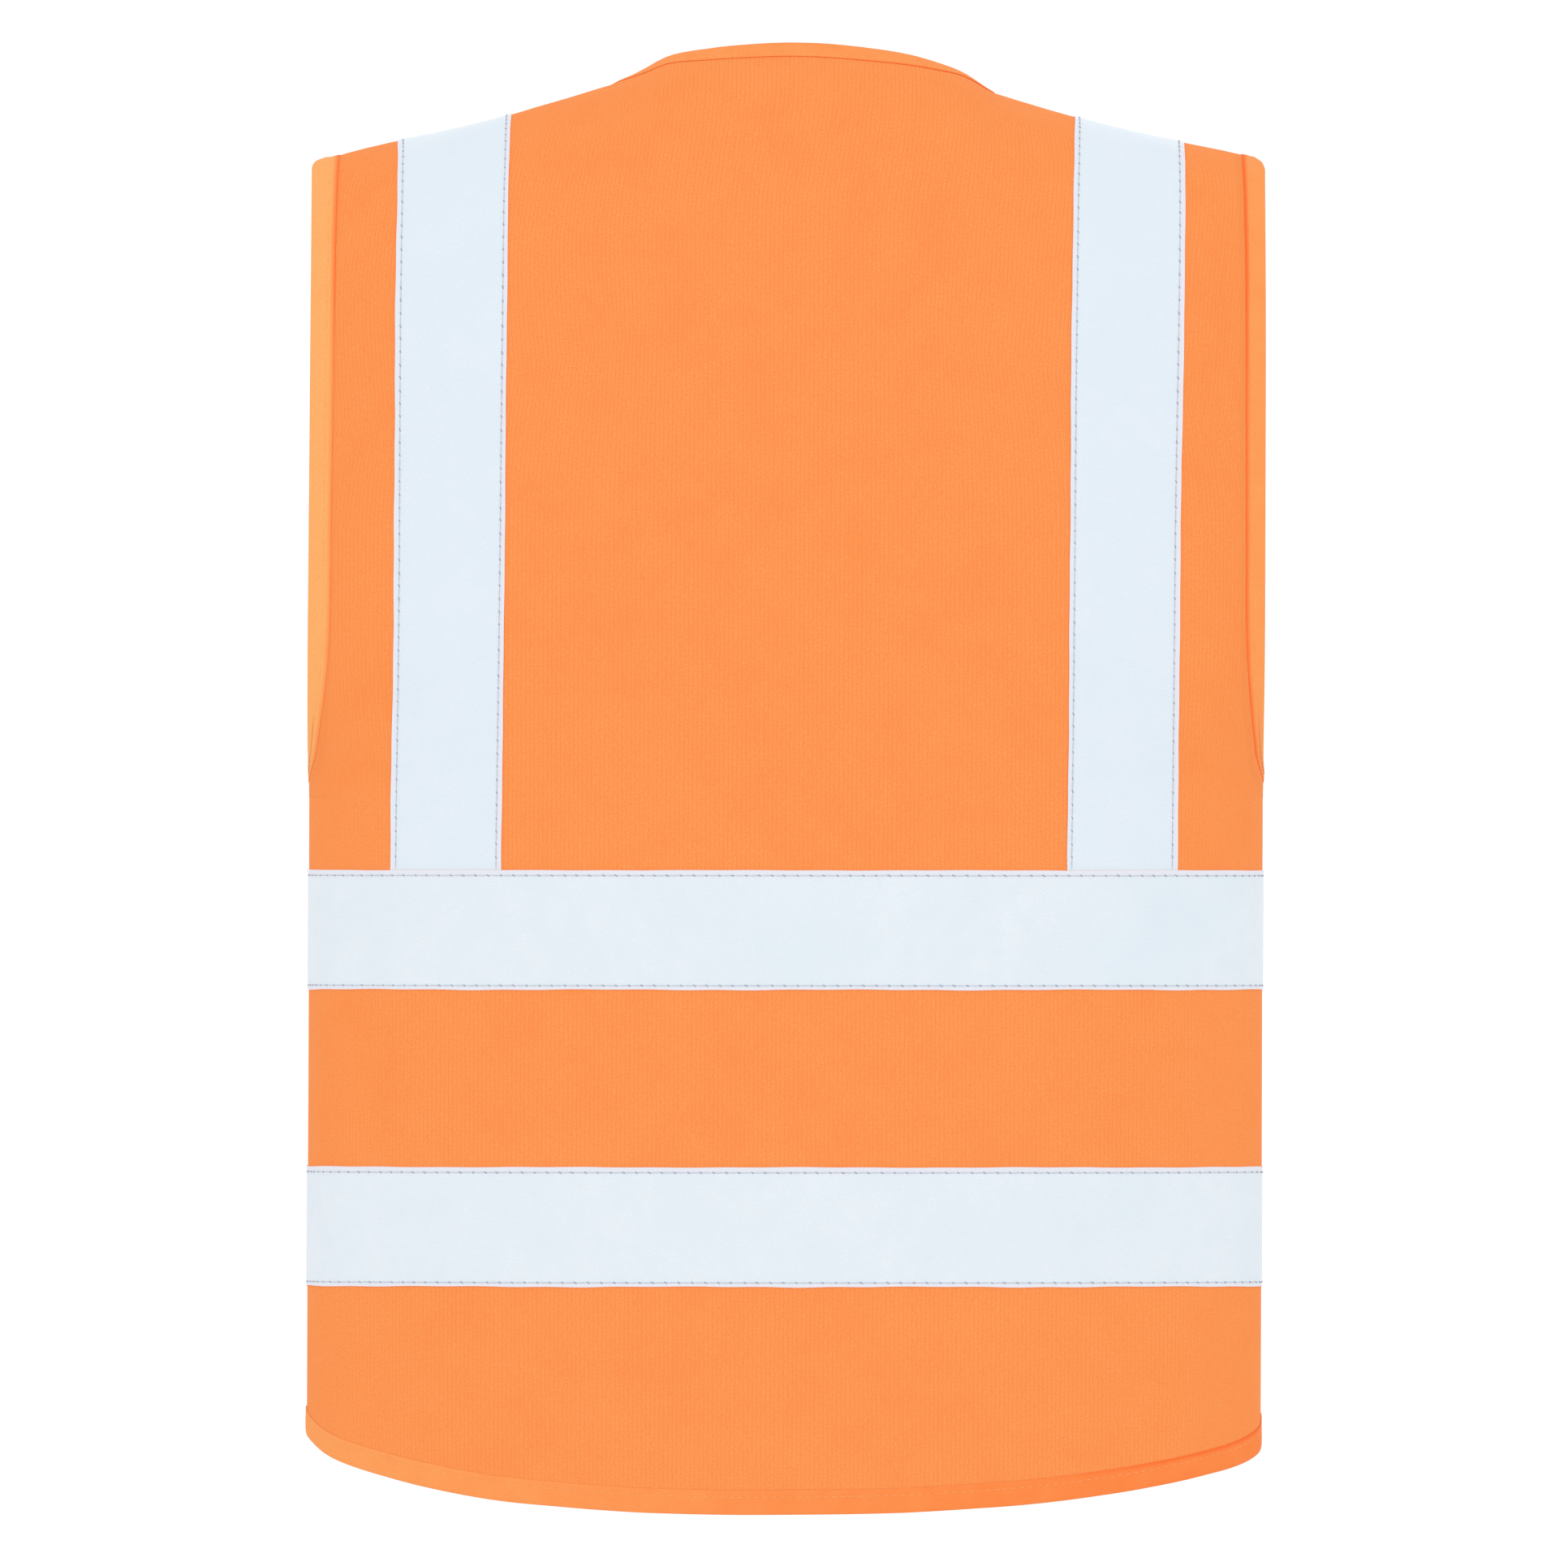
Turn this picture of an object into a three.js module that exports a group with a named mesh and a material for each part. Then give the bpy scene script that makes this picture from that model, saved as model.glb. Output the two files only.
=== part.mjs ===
// High-visibility waistcoat in its worn shape: a hollow knitted shell with reflective tapes,
// bound edges and a hook-and-loop front. Millimetres, +Z up. The wearer faces +Y and has
// the left hand at -X, so names with "left" lie at negative X.
import * as THREE from 'three';

const { lerp, clamp, degToRad } = THREE.MathUtils;

// Body of the garment, measured on the inner face of the cloth.
const HALF_WIDTH = 198.4;
const BACK_DEPTH = 87;
const FRONT_DEPTH = 83;
const SECTION_POWER = 2.3;
const HEM_RISE = 36;
const FRONT_HEM_DROP = 14;

// Shoulder ridge: a straight slope that steepens towards the neck.
const SHOULDER_TIP_X = 198;
const SHOULDER_TIP_Z = 567;
const SHOULDER_SLOPE = 0.2;
const NECK_RISE = 7.2;
const NECK_RISE_SPAN = 119;
const NECK_RISE_POWER = 3.1;
const SHOULDER_DROP = 110;
const CURVE_POWER = 2.6;

// Neck: a half ellipse in plan behind, a straight V in front.
const NECK_HALF_WIDTH = 72;
const NAPE_DEPTH = 44;
const NAPE_Z = 615.2;
const NAPE_INNER_Z = 610;
const NECK_POWER = 2.9;
const V_START_Z = 410;
const FRONT_OVERLAP = 22;

// Armholes: a quarter ellipse up from the side seam, then nearly straight to the shoulder.
const UNDERARM_Z = 312;
const SCYE_RISE = 70;
const SCYE_EDGE_DEPTH_BACK = 43.5;
const SCYE_PIN_DEPTH_BACK = 50.8;
const SCYE_EDGE_DEPTH_FRONT = 50;
const SCYE_PIN_DEPTH_FRONT = 55.5;

// Reflective tape: two bands round the waist and two braces over the shoulders.
const TAPE_WIDTH = 50;
const LOWER_BAND_Z = 95.5;
const UPPER_BAND_Z = 219.7;
const BRACE_INNER_X = 118;
const BRACE_OUTER_X = 165;

// Thin layers, each given as distances outwards from the inner face of the cloth.
const GAP = 0.3;
const CLOTH = 1;
const TAPE = 0.6;
const SEAM_GAP = 0.4;
const EDGE_WRAP = 0.9;
const CLOTH_LAYER = [0, CLOTH];
const TAPE_LAYER = [CLOTH + GAP, CLOTH + GAP + TAPE];
const LINING_LAYER = [-GAP - 1, -GAP];
const HOOK_LAYER = [CLOTH + GAP, CLOTH + GAP + 1];
const OVERLAP_LIFT = 4.2;
const LIFT_START_X = -70;
const LIFT_LENGTH = 45;

// Bindings, as widths of the visible leg.
const HEM_BINDING = 9;
const NECK_BINDING = 8;
const ARM_BINDING = 12;
const SEAM_ALLOWANCE = 0.5;

// Hook-and-loop fastening on the centre front.
const PATCH_COLUMNS = [1.12, 1.72];
const PATCH_ROWS = [[1.15, 1.9], [3.12, 3.88], [8.1, 9.9]];
const LABEL = { width: 44, height: 32, thickness: 0.8, depth: 47.4, top: 606 };

// Rows of the shared grid, from the hem up.
const ROW_HEM = 0;
const ROW_HEM_TOP = 1;
const ROW_LOWER = 2;
const ROW_UPPER = 4;
const ROW_UNDERARM = 6;
const SCYE_ROWS = 4;
const ROW_CHEST = 11;
const ROW_CURVE = 14;
const CURVE_ROWS = 6;
const ROW_TOP = 20;
const ROW_NECK = 21;
const BAND_ROWS = [LOWER_BAND_Z, LOWER_BAND_Z + TAPE_WIDTH, UPPER_BAND_Z, UPPER_BAND_Z + TAPE_WIDTH];
const OUTER_COLUMNS = 4;

// ---------------------------------------------------------------- outline formulas

// Depth of a horizontal section as a share of its greatest, at a share t of its half width.
function sectionShape(t) {
  return (1 - Math.min(Math.abs(t), 1) ** SECTION_POWER) ** (1 / SECTION_POWER);
}

// Half width the section would have at y = 0; above the underarm the armhole cuts it short.
function halfWidth(z) {
  const c = clamp(1 - (z - UNDERARM_Z) / SCYE_RISE, 0, 1);
  const depth = SCYE_EDGE_DEPTH_BACK * Math.sqrt(1 - c * c);
  return HALF_WIDTH / sectionShape(depth / BACK_DEPTH);
}

function shoulderHeight(x) {
  const d = Math.max(SHOULDER_TIP_X - Math.abs(x), 0);
  return SHOULDER_TIP_Z + SHOULDER_SLOPE * d + NECK_RISE * (d / NECK_RISE_SPAN) ** NECK_RISE_POWER;
}

const NECK_PIN_X = NECK_HALF_WIDTH + NECK_BINDING;

// Inner edge of the back neck binding: its depth behind the shoulder line, and its height.
function neckPin(x) {
  const t = Math.min(Math.abs(x) / NECK_PIN_X, 1);
  const depth = (NAPE_DEPTH + 6) * Math.sqrt(1 - t * t);
  return { depth, z: NAPE_INNER_Z - (NAPE_INNER_Z - shoulderHeight(NECK_PIN_X)) * t ** NECK_POWER };
}

function topDepth(face, x) {
  return face.depth * sectionShape(x / halfWidth(V_START_Z));
}

// Height of the ridge the cloth curves up to; behind the neck it is a line above the edge.
function ridgeHeight(face, x) {
  if (!face.isBack || Math.abs(x) >= NECK_PIN_X) {
    return shoulderHeight(x);
  }
  const pin = neckPin(x);
  const share = pin.depth / topDepth(face, x);
  return pin.z + SHOULDER_DROP * (1 - (1 - share ** CURVE_POWER) ** (1 / CURVE_POWER));
}

// Angle up the shoulder curve that the cloth reaches at this x.
function topAngle(face, x) {
  if (!face.isBack || Math.abs(x) >= NECK_PIN_X) {
    return Math.PI / 2;
  }
  return Math.acos((neckPin(x).depth / topDepth(face, x)) ** (CURVE_POWER / 2));
}

// Angle reached on a row of the shoulder curve; rows below the curve are at zero.
function curveAngle(face, x, row) {
  return topAngle(face, x) * Math.max((row - ROW_CURVE) / CURVE_ROWS, 0);
}

function hemHeight(face, x) {
  const depthShare = sectionShape(x / HALF_WIDTH);
  const drop = face.isBack ? HEM_RISE : FRONT_HEM_DROP;
  return EDGE_WRAP + HEM_RISE - drop * depthShare;
}

function scyeAngle(row) {
  return degToRad(90 * clamp((row - ROW_UNDERARM) / SCYE_ROWS, 0, 1));
}

function rowHeight(face, x, row) {
  if (row <= ROW_HEM_TOP) {
    return hemHeight(face, x) + HEM_BINDING * row;
  }
  if (row < ROW_UNDERARM) {
    return BAND_ROWS[row - ROW_LOWER];
  }
  if (row < ROW_CHEST) {
    const rise = SCYE_RISE + ARM_BINDING;
    return UNDERARM_Z - ARM_BINDING + rise * (1 - Math.cos(scyeAngle(row)));
  }
  const curveStart = ridgeHeight(face, x) - SHOULDER_DROP;
  if (row < ROW_CURVE) {
    return lerp(V_START_Z, curveStart, (row - ROW_CHEST) / (ROW_CURVE - ROW_CHEST));
  }
  return curveStart + SHOULDER_DROP * Math.sin(curveAngle(face, x, row)) ** (2 / CURVE_POWER);
}

// Point of the cloth's inner face on one row, with y away from the shoulder line.
function clothPoint(face, x, row) {
  const z = rowHeight(face, x, row);
  const bend = Math.max(Math.cos(curveAngle(face, x, row)), 0) ** (2 / CURVE_POWER);
  return [x, Math.max(face.depth * sectionShape(x / halfWidth(z)) * bend, SEAM_GAP), z];
}

// ---------------------------------------------------------------- columns

function armholeX(face, row, depthAtScye, topX) {
  const scyeTop = halfWidth(V_START_Z) * sectionShape(depthAtScye / face.depth);
  const share = (row - ROW_UNDERARM - SCYE_ROWS) / (ROW_TOP - ROW_UNDERARM - SCYE_ROWS);
  return lerp(scyeTop, topX, share * share);
}

// Where the armhole binding's inner edge runs; below the underarm it is the side seam.
function pinX(face, row) {
  if (row <= ROW_UNDERARM) {
    return HALF_WIDTH;
  }
  if (row <= ROW_UNDERARM + SCYE_ROWS) {
    const depth = face.scyePin * Math.sin(scyeAngle(row));
    return halfWidth(rowHeight(face, 0, row)) * sectionShape(depth / face.depth);
  }
  return armholeX(face, row, face.scyePin, SHOULDER_TIP_X - ARM_BINDING);
}

function armholeEdge(face, row) {
  if (row <= ROW_UNDERARM + SCYE_ROWS) {
    const angle = scyeAngle(row);
    const depth = face.scyeEdge * Math.sin(angle);
    const z = UNDERARM_Z + SCYE_RISE * (1 - Math.cos(angle));
    return [halfWidth(z) * sectionShape(depth / face.depth), Math.max(depth, SEAM_GAP), z];
  }
  return clothPoint(face, armholeX(face, row, face.scyeEdge, SHOULDER_TIP_X), row);
}

// Column between the brace tape and the armhole, spread evenly round the section.
function outerX(face, step, row) {
  const a = halfWidth(rowHeight(face, BRACE_OUTER_X, row));
  const turn = (x) => Math.asin(Math.min(x / a, 1) ** (SECTION_POWER / 2));
  const angle = lerp(turn(BRACE_OUTER_X), turn(pinX(face, row)), step / OUTER_COLUMNS);
  return a * Math.sin(angle) ** (2 / SECTION_POWER);
}

function vLineHeight(x) {
  const share = (x + FRONT_OVERLAP) / (NECK_HALF_WIDTH + FRONT_OVERLAP);
  return lerp(V_START_Z, shoulderHeight(NECK_HALF_WIDTH), share);
}

// X of the front edge on a row, counted outwards from the centre line.
function frontEdgeX(face, row) {
  if (row <= ROW_CHEST) {
    return -FRONT_OVERLAP;
  }
  let low = -FRONT_OVERLAP;
  let high = NECK_HALF_WIDTH;
  for (let i = 0; i < 40; i += 1) {
    const middle = (low + high) / 2;
    if (rowHeight(face, middle, row) > vLineHeight(middle)) {
      low = middle;
    } else {
      high = middle;
    }
  }
  return high;
}

const BRACE_MIDDLE_X = (BRACE_INNER_X + BRACE_OUTER_X) / 2;
const BRACE_COLUMNS = [BRACE_INNER_X, BRACE_MIDDLE_X, BRACE_OUTER_X];
const NECK_STEPS = 4;
const BACK_INNER_X = [];
for (let i = 0; i <= NECK_STEPS; i += 1) {
  BACK_INNER_X.push(NECK_PIN_X * Math.sin(degToRad((90 * i) / NECK_STEPS)));
}
BACK_INNER_X.push((NECK_PIN_X + BRACE_INNER_X) / 2, ...BRACE_COLUMNS);
const BACK_PIN = BACK_INNER_X.length - 1 + OUTER_COLUMNS;
const BACK_EDGE = BACK_PIN + 1;
const BACK_BRACE = BACK_INNER_X.length - BRACE_COLUMNS.length;

const FRONT_SPREAD = 4;
const FRONT_BRACE = 1 + FRONT_SPREAD;
const FRONT_PIN = FRONT_BRACE + BRACE_COLUMNS.length - 1 + OUTER_COLUMNS;
const FRONT_EDGE = FRONT_PIN + 1;

function frontColumnX(face, column, row) {
  const edge = frontEdgeX(face, row);
  const pin = edge + NECK_BINDING;
  if (column === 0) {
    return edge;
  }
  if (column < FRONT_BRACE) {
    return lerp(pin, BRACE_INNER_X, (column - 1) / FRONT_SPREAD);
  }
  const step = column - FRONT_BRACE;
  return step < BRACE_COLUMNS.length ? BRACE_COLUMNS[step] : outerX(face, step - BRACE_COLUMNS.length + 1, row);
}

// ---------------------------------------------------------------- shared grids

const range = (from, to) => Array.from({ length: to - from + 1 }, (_, i) => from + i);
const keyOf = (u, v) => `${u}_${v}`;

// Every layer of a sheet hangs on one grid of points with outward normals. turn is -1 when
// columns and rows run clockwise seen from outside.
class Sheet {
  constructor(mirrored, turn) {
    this.points = new Map();
    this.quads = [];
    this.mirrored = mirrored;
    this.turn = turn;
  }

  add(u, v, [x, y, z]) {
    this.points.set(keyOf(u, v), { p: new THREE.Vector3(x, y, z), n: new THREE.Vector3() });
  }

  addCells(us, vs) {
    this.quads.push(...cellsOf(us, vs));
  }

  setNormals() {
    for (const point of this.points.values()) {
      point.n.set(0, 0, 0);
    }
    for (const quad of this.quads) {
      const [a, b, c, d] = quad.map(([u, v]) => this.points.get(keyOf(u, v)));
      const n = c.p.clone().sub(a.p).cross(d.p.clone().sub(b.p));
      [a, b, c, d].forEach((corner) => corner.n.addScaledVector(n, this.turn));
    }
    for (const point of this.points.values()) {
      if (Math.abs(point.p.y) < SEAM_GAP + 0.01) {
        point.n.y = 0;
      }
      point.n.normalize();
    }
  }

  // Point between grid lines, on the straight edges of the cell it lies in.
  at(u, v) {
    const [u0, v0] = [Math.floor(u), Math.floor(v)];
    const pick = (du, dv) => this.points.get(keyOf(u0 + du, v0 + dv));
    const along = (dv) => blendPoints(pick(0, dv), pick(1, dv), u - u0);
    return blendPoints(along(0), v > v0 ? along(1) : null, v - v0);
  }
}

function blendPoints(a, b, share) {
  if (share === 0 || !b) {
    return a;
  }
  return { p: a.p.clone().lerp(b.p, share), n: a.n.clone().lerp(b.n, share).normalize() };
}

function cellsOf(us, vs) {
  const cells = [];
  for (let i = 0; i + 1 < us.length; i += 1) {
    for (let j = 0; j + 1 < vs.length; j += 1) {
      cells.push([[us[i], vs[j]], [us[i + 1], vs[j]], [us[i + 1], vs[j + 1]], [us[i], vs[j + 1]]]);
    }
  }
  return cells;
}

// Grid lines from one fraction to another, with every whole line between them.
function lines(from, to) {
  return [from, ...range(Math.floor(from) + 1, Math.ceil(to) - 1), to];
}

function backSheet() {
  const face = {
    isBack: true, depth: BACK_DEPTH, scyeEdge: SCYE_EDGE_DEPTH_BACK, scyePin: SCYE_PIN_DEPTH_BACK,
  };
  const sheet = new Sheet(true, 1);
  const put = (u, v, [x, y, z]) => {
    sheet.add(u, v, [x, -y, z]);
    sheet.add(-u, v, [-x, -y, z]);
  };
  for (let column = 0; column <= BACK_PIN; column += 1) {
    for (let row = ROW_HEM; row <= ROW_TOP; row += 1) {
      const step = column - BACK_INNER_X.length + 1;
      const x = step > 0 ? outerX(face, step, row) : BACK_INNER_X[column];
      put(column, row, clothPoint(face, x, row));
    }
  }
  for (let row = ROW_UNDERARM; row <= ROW_TOP; row += 1) {
    put(BACK_EDGE, row, armholeEdge(face, row));
  }
  for (let column = 0; column <= NECK_STEPS; column += 1) {
    const angle = degToRad((90 * column) / NECK_STEPS);
    const drop = (NAPE_Z - shoulderHeight(NECK_HALF_WIDTH)) * Math.sin(angle) ** NECK_POWER;
    const y = Math.max(NAPE_DEPTH * Math.cos(angle), SEAM_GAP);
    put(column, ROW_NECK, [NECK_HALF_WIDTH * Math.sin(angle), y, NAPE_Z - drop]);
  }
  sheet.addCells(range(-BACK_PIN, BACK_PIN), range(ROW_HEM, ROW_TOP));
  sheet.addCells([BACK_PIN, BACK_EDGE], range(ROW_UNDERARM, ROW_TOP));
  sheet.addCells([-BACK_EDGE, -BACK_PIN], range(ROW_UNDERARM, ROW_TOP));
  sheet.addCells(range(-NECK_STEPS, NECK_STEPS), [ROW_TOP, ROW_NECK]);
  sheet.setNormals();
  return sheet;
}

// The left front crosses over the right one, so it is lifted clear near the centre.
function liftOverlap(sheet) {
  for (const point of sheet.points.values()) {
    const lift = THREE.MathUtils.smoothstep(point.p.x, LIFT_START_X, LIFT_START_X + LIFT_LENGTH);
    point.p.addScaledVector(point.n, OVERLAP_LIFT * lift);
  }
  sheet.setNormals();
}

function frontSheet(side) {
  const face = {
    isBack: false, depth: FRONT_DEPTH, scyeEdge: SCYE_EDGE_DEPTH_FRONT, scyePin: SCYE_PIN_DEPTH_FRONT,
  };
  const sheet = new Sheet(false, -side);
  const put = (u, v, [x, y, z]) => sheet.add(u, v, [side * x, y, z]);
  for (let column = 0; column <= FRONT_PIN; column += 1) {
    for (let row = ROW_HEM; row <= ROW_TOP; row += 1) {
      put(column, row, clothPoint(face, frontColumnX(face, column, row), row));
    }
  }
  for (let row = ROW_UNDERARM; row <= ROW_TOP; row += 1) {
    put(FRONT_EDGE, row, armholeEdge(face, row));
  }
  sheet.addCells(range(0, FRONT_PIN), range(ROW_HEM, ROW_TOP));
  sheet.addCells([FRONT_PIN, FRONT_EDGE], range(ROW_UNDERARM, ROW_TOP));
  sheet.setNormals();
  if (side < 0) {
    liftOverlap(sheet);
  }
  return sheet;
}

// ---------------------------------------------------------------- solids

function signedVolume(positions, index) {
  const corner = (i) => new THREE.Vector3().fromArray(positions, 3 * index[i]);
  let volume = 0;
  for (let i = 0; i < index.length; i += 3) {
    volume += corner(i).dot(corner(i + 1).cross(corner(i + 2)));
  }
  return volume;
}

// Closed body from its points and triangles, turned so its faces look outwards.
function closedGeometry(points, triangles) {
  const positions = points.flatMap((p) => [p.x, p.y, p.z]);
  const index = triangles.flat();
  if (signedVolume(positions, index) < 0) {
    index.reverse();
  }
  const geometry = new THREE.BufferGeometry();
  geometry.setAttribute('position', new THREE.Float32BufferAttribute(positions, 3));
  geometry.setIndex(index);
  geometry.computeVertexNormals();
  return geometry;
}

// Sheet material between two distances from the cloth's inner face.
function layerGeometry(sheet, quads, [inner, outer]) {
  const numbers = new Map();
  const points = [];
  const numberOf = ([u, v]) => {
    const key = keyOf(u, v);
    if (!numbers.has(key)) {
      const { p, n } = sheet.at(u, v);
      numbers.set(key, points.length);
      points.push(p.clone().addScaledVector(n, outer), p.clone().addScaledVector(n, inner));
    }
    return numbers.get(key);
  };
  const triangles = [];
  const edges = new Map();
  for (const quad of quads) {
    const [a, b, c, d] = quad.map(numberOf);
    const halves = slantsLeft(sheet, quad[0][0] + quad[1][0]) ? [[a, b, d], [b, c, d]] : [[a, b, c], [a, c, d]];
    for (const [i, j, k] of halves) {
      triangles.push([i, j, k], [i + 1, k + 1, j + 1]);
    }
    [[a, b], [b, c], [c, d], [d, a]].forEach(([i, j]) => edges.set(keyOf(i, j), [i, j]));
  }
  for (const [i, j] of edges.values()) {
    if (!edges.has(keyOf(j, i))) {
      triangles.push([j, i, i + 1], [j, i + 1, j + 1]);
    }
  }
  return closedGeometry(points, triangles);
}

// True when a cell of the sheet is split from its lower right to its upper left corner.
function slantsLeft(sheet, middleColumn) {
  return sheet.mirrored && middleColumn < 0;
}

// Folded binding: a U-shaped section carried from station to station along a bound edge.
// Its legs are split along the same diagonals as the cloth between them.
function bindingGeometry(sheet, list) {
  const points = [];
  const triangles = [];
  const quad = (a, b, c, d) => triangles.push([a, b, c], [a, c, d]);
  const sides = 8;
  const [near, far] = TAPE_LAYER;
  for (const [pinKey, edgeKey] of list) {
    const pin = sheet.at(...pinKey);
    const edge = sheet.at(...edgeKey);
    const out = edge.p.clone().sub(pin.p);
    out.addScaledVector(edge.n, -out.dot(edge.n)).normalize();
    const atPin = (d) => pin.p.clone().addScaledVector(pin.n, d);
    const atEdge = (w, d) => edge.p.clone().addScaledVector(out, w).addScaledVector(edge.n, d);
    points.push(
      atPin(far), atEdge(EDGE_WRAP, far), atEdge(EDGE_WRAP, -EDGE_WRAP), atPin(-EDGE_WRAP),
      atPin(-GAP), atEdge(GAP, -GAP), atEdge(GAP, near), atPin(near),
    );
  }
  for (let s = 0; s + 1 < list.length; s += 1) {
    const [[pinU, pinV], [nextU, nextV]] = [list[s][0], list[s + 1][1]];
    const rising = (nextU - pinU) * (nextV - pinV) > 0;
    const fromPin = rising !== slantsLeft(sheet, pinU + nextU);
    for (let i = 0; i < sides; i += 1) {
      const j = (i + 1) % sides;
      const ring = [s * sides + i, s * sides + j, (s + 1) * sides + j, (s + 1) * sides + i];
      const startsAtPin = i % 4 === 0;
      quad(...(startsAtPin === fromPin ? ring : [...ring.slice(1), ring[0]]));
    }
  }
  const last = (list.length - 1) * sides;
  [[0, 1, 6, 7], [1, 2, 5, 6], [2, 3, 4, 5]].forEach(([a, b, c, d]) => {
    quad(a, d, c, b);
    quad(last + a, last + b, last + c, last + d);
  });
  return closedGeometry(points, triangles);
}

// ---------------------------------------------------------------- materials

function fabric(name, color, roughness, metalness = 0) {
  return Object.assign(new THREE.MeshStandardMaterial({ color, roughness, metalness }), { name });
}

const CLOTH_ORANGE = fabric('orange_knit', 0xfe9652, 0.92);
const BINDING_ORANGE = fabric('orange_binding', 0xfea462, 0.88);
const SILVER_TAPE = fabric('reflective_tape', 0xe6f0f7, 0.45, 0.1);
const HOOK_LOOP = fabric('hook_loop_orange', 0xf08a48, 0.98);
const WHITE_WOVEN = fabric('white_woven', 0xf4f3ee, 0.8);

// ---------------------------------------------------------------- assembly

const vest = new THREE.Group();
vest.name = 'high_visibility_vest';

function addMesh(name, geometry, material) {
  const mesh = new THREE.Mesh(geometry, material);
  mesh.name = name;
  vest.add(mesh);
}

function addLayer(name, sheet, us, vs, layer, material) {
  addMesh(name, layerGeometry(sheet, cellsOf(us, vs), layer), material);
}

function addBinding(name, sheet, list) {
  addMesh(name, bindingGeometry(sheet, list), BINDING_ORANGE);
}

const TUCK = 0.02;
const sideName = (side) => (side < 0 ? 'left' : 'right');
const back = backSheet();
addMesh('back_panel', layerGeometry(back, back.quads, CLOTH_LAYER), CLOTH_ORANGE);
addBinding('back_neck_binding', back, range(-NECK_STEPS, NECK_STEPS).map((c) => [[c, ROW_TOP], [c, ROW_NECK]]));
addBinding('back_hem_binding', back, range(-BACK_PIN, BACK_PIN).map((c) => [[c, ROW_HEM_TOP], [c, ROW_HEM]]));
const BACK_COLUMNS = range(-BACK_PIN, BACK_PIN);
addLayer('back_waist_tape_lower', back, BACK_COLUMNS, [ROW_LOWER, ROW_LOWER + 1], TAPE_LAYER, SILVER_TAPE);
addLayer('back_waist_tape_upper', back, BACK_COLUMNS, [ROW_UPPER, ROW_UPPER + 1], TAPE_LAYER, SILVER_TAPE);

const armRows = range(ROW_UNDERARM, ROW_TOP);
const braceRows = lines(ROW_UPPER + 1 + TUCK, ROW_TOP);
for (const side of [-1, 1]) {
  const name = sideName(side);
  const ordered = (us) => (side < 0 ? us.map((u) => -u).reverse() : us);
  addBinding(`${name}_armhole_binding_back`, back, armRows.map((r) => [[side * BACK_PIN, r], [side * BACK_EDGE, r]]));
  const braceColumns = ordered(range(BACK_BRACE, BACK_BRACE + 2));
  addLayer(`${name}_brace_tape_back`, back, braceColumns, braceRows, TAPE_LAYER, SILVER_TAPE);
  const sideColumns = ordered([BACK_PIN - SEAM_ALLOWANCE, BACK_PIN]);
  const sideRows = lines(ROW_HEM_TOP + TUCK, ROW_UNDERARM - TUCK);
  addLayer(`${name}_side_seam`, back, sideColumns, sideRows, LINING_LAYER, CLOTH_ORANGE);
  const shoulderColumns = ordered(lines(NECK_STEPS + TUCK, BACK_PIN - TUCK));
  const shoulderRows = [ROW_TOP - SEAM_ALLOWANCE, ROW_TOP];
  addLayer(`${name}_shoulder_seam`, back, shoulderColumns, shoulderRows, LINING_LAYER, CLOTH_ORANGE);
}

for (const side of [-1, 1]) {
  const name = sideName(side);
  const front = frontSheet(side);
  addMesh(`${name}_front_panel`, layerGeometry(front, front.quads, CLOTH_LAYER), CLOTH_ORANGE);
  const edgeRows = range(ROW_HEM, ROW_TOP);
  addBinding(`${name}_front_edge_binding`, front, edgeRows.map((r) => [[1, r], [0, r]]));
  const hemColumns = lines(1 + TUCK, FRONT_PIN);
  addBinding(`${name}_front_hem_binding`, front, hemColumns.map((c) => [[c, ROW_HEM_TOP], [c, ROW_HEM]]));
  addBinding(`${name}_armhole_binding_front`, front, armRows.map((r) => [[FRONT_PIN, r], [FRONT_EDGE, r]]));
  const tapeNames = [[`${name}_front_waist_tape_lower`, ROW_LOWER], [`${name}_front_waist_tape_upper`, ROW_UPPER]];
  for (const [tapeName, row] of tapeNames) {
    addLayer(tapeName, front, hemColumns, [row, row + 1], TAPE_LAYER, SILVER_TAPE);
  }
  const braceColumns = range(FRONT_BRACE, FRONT_BRACE + 2);
  addLayer(`${name}_brace_tape_front`, front, braceColumns, braceRows, TAPE_LAYER, SILVER_TAPE);
  const patchLayer = side < 0 ? LINING_LAYER : HOOK_LAYER;
  const patchName = side < 0 ? 'loop_patch' : 'hook_patch';
  ['lower', 'middle', 'upper'].forEach((level, i) => {
    addLayer(`${patchName}_${level}`, front, PATCH_COLUMNS, lines(...PATCH_ROWS[i]), patchLayer, HOOK_LOOP);
  });
}

const label = new THREE.BoxGeometry(LABEL.width, LABEL.thickness, LABEL.height);
label.translate(0, 0, -LABEL.height / 2);
const labelMesh = new THREE.Mesh(label, WHITE_WOVEN);
labelMesh.name = 'neck_label';
labelMesh.position.set(0, -LABEL.depth, LABEL.top);
vest.add(labelMesh);

export default vest;
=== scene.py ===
import math

import bmesh
import bpy
import numpy as np
from mathutils import Matrix, Vector


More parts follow.
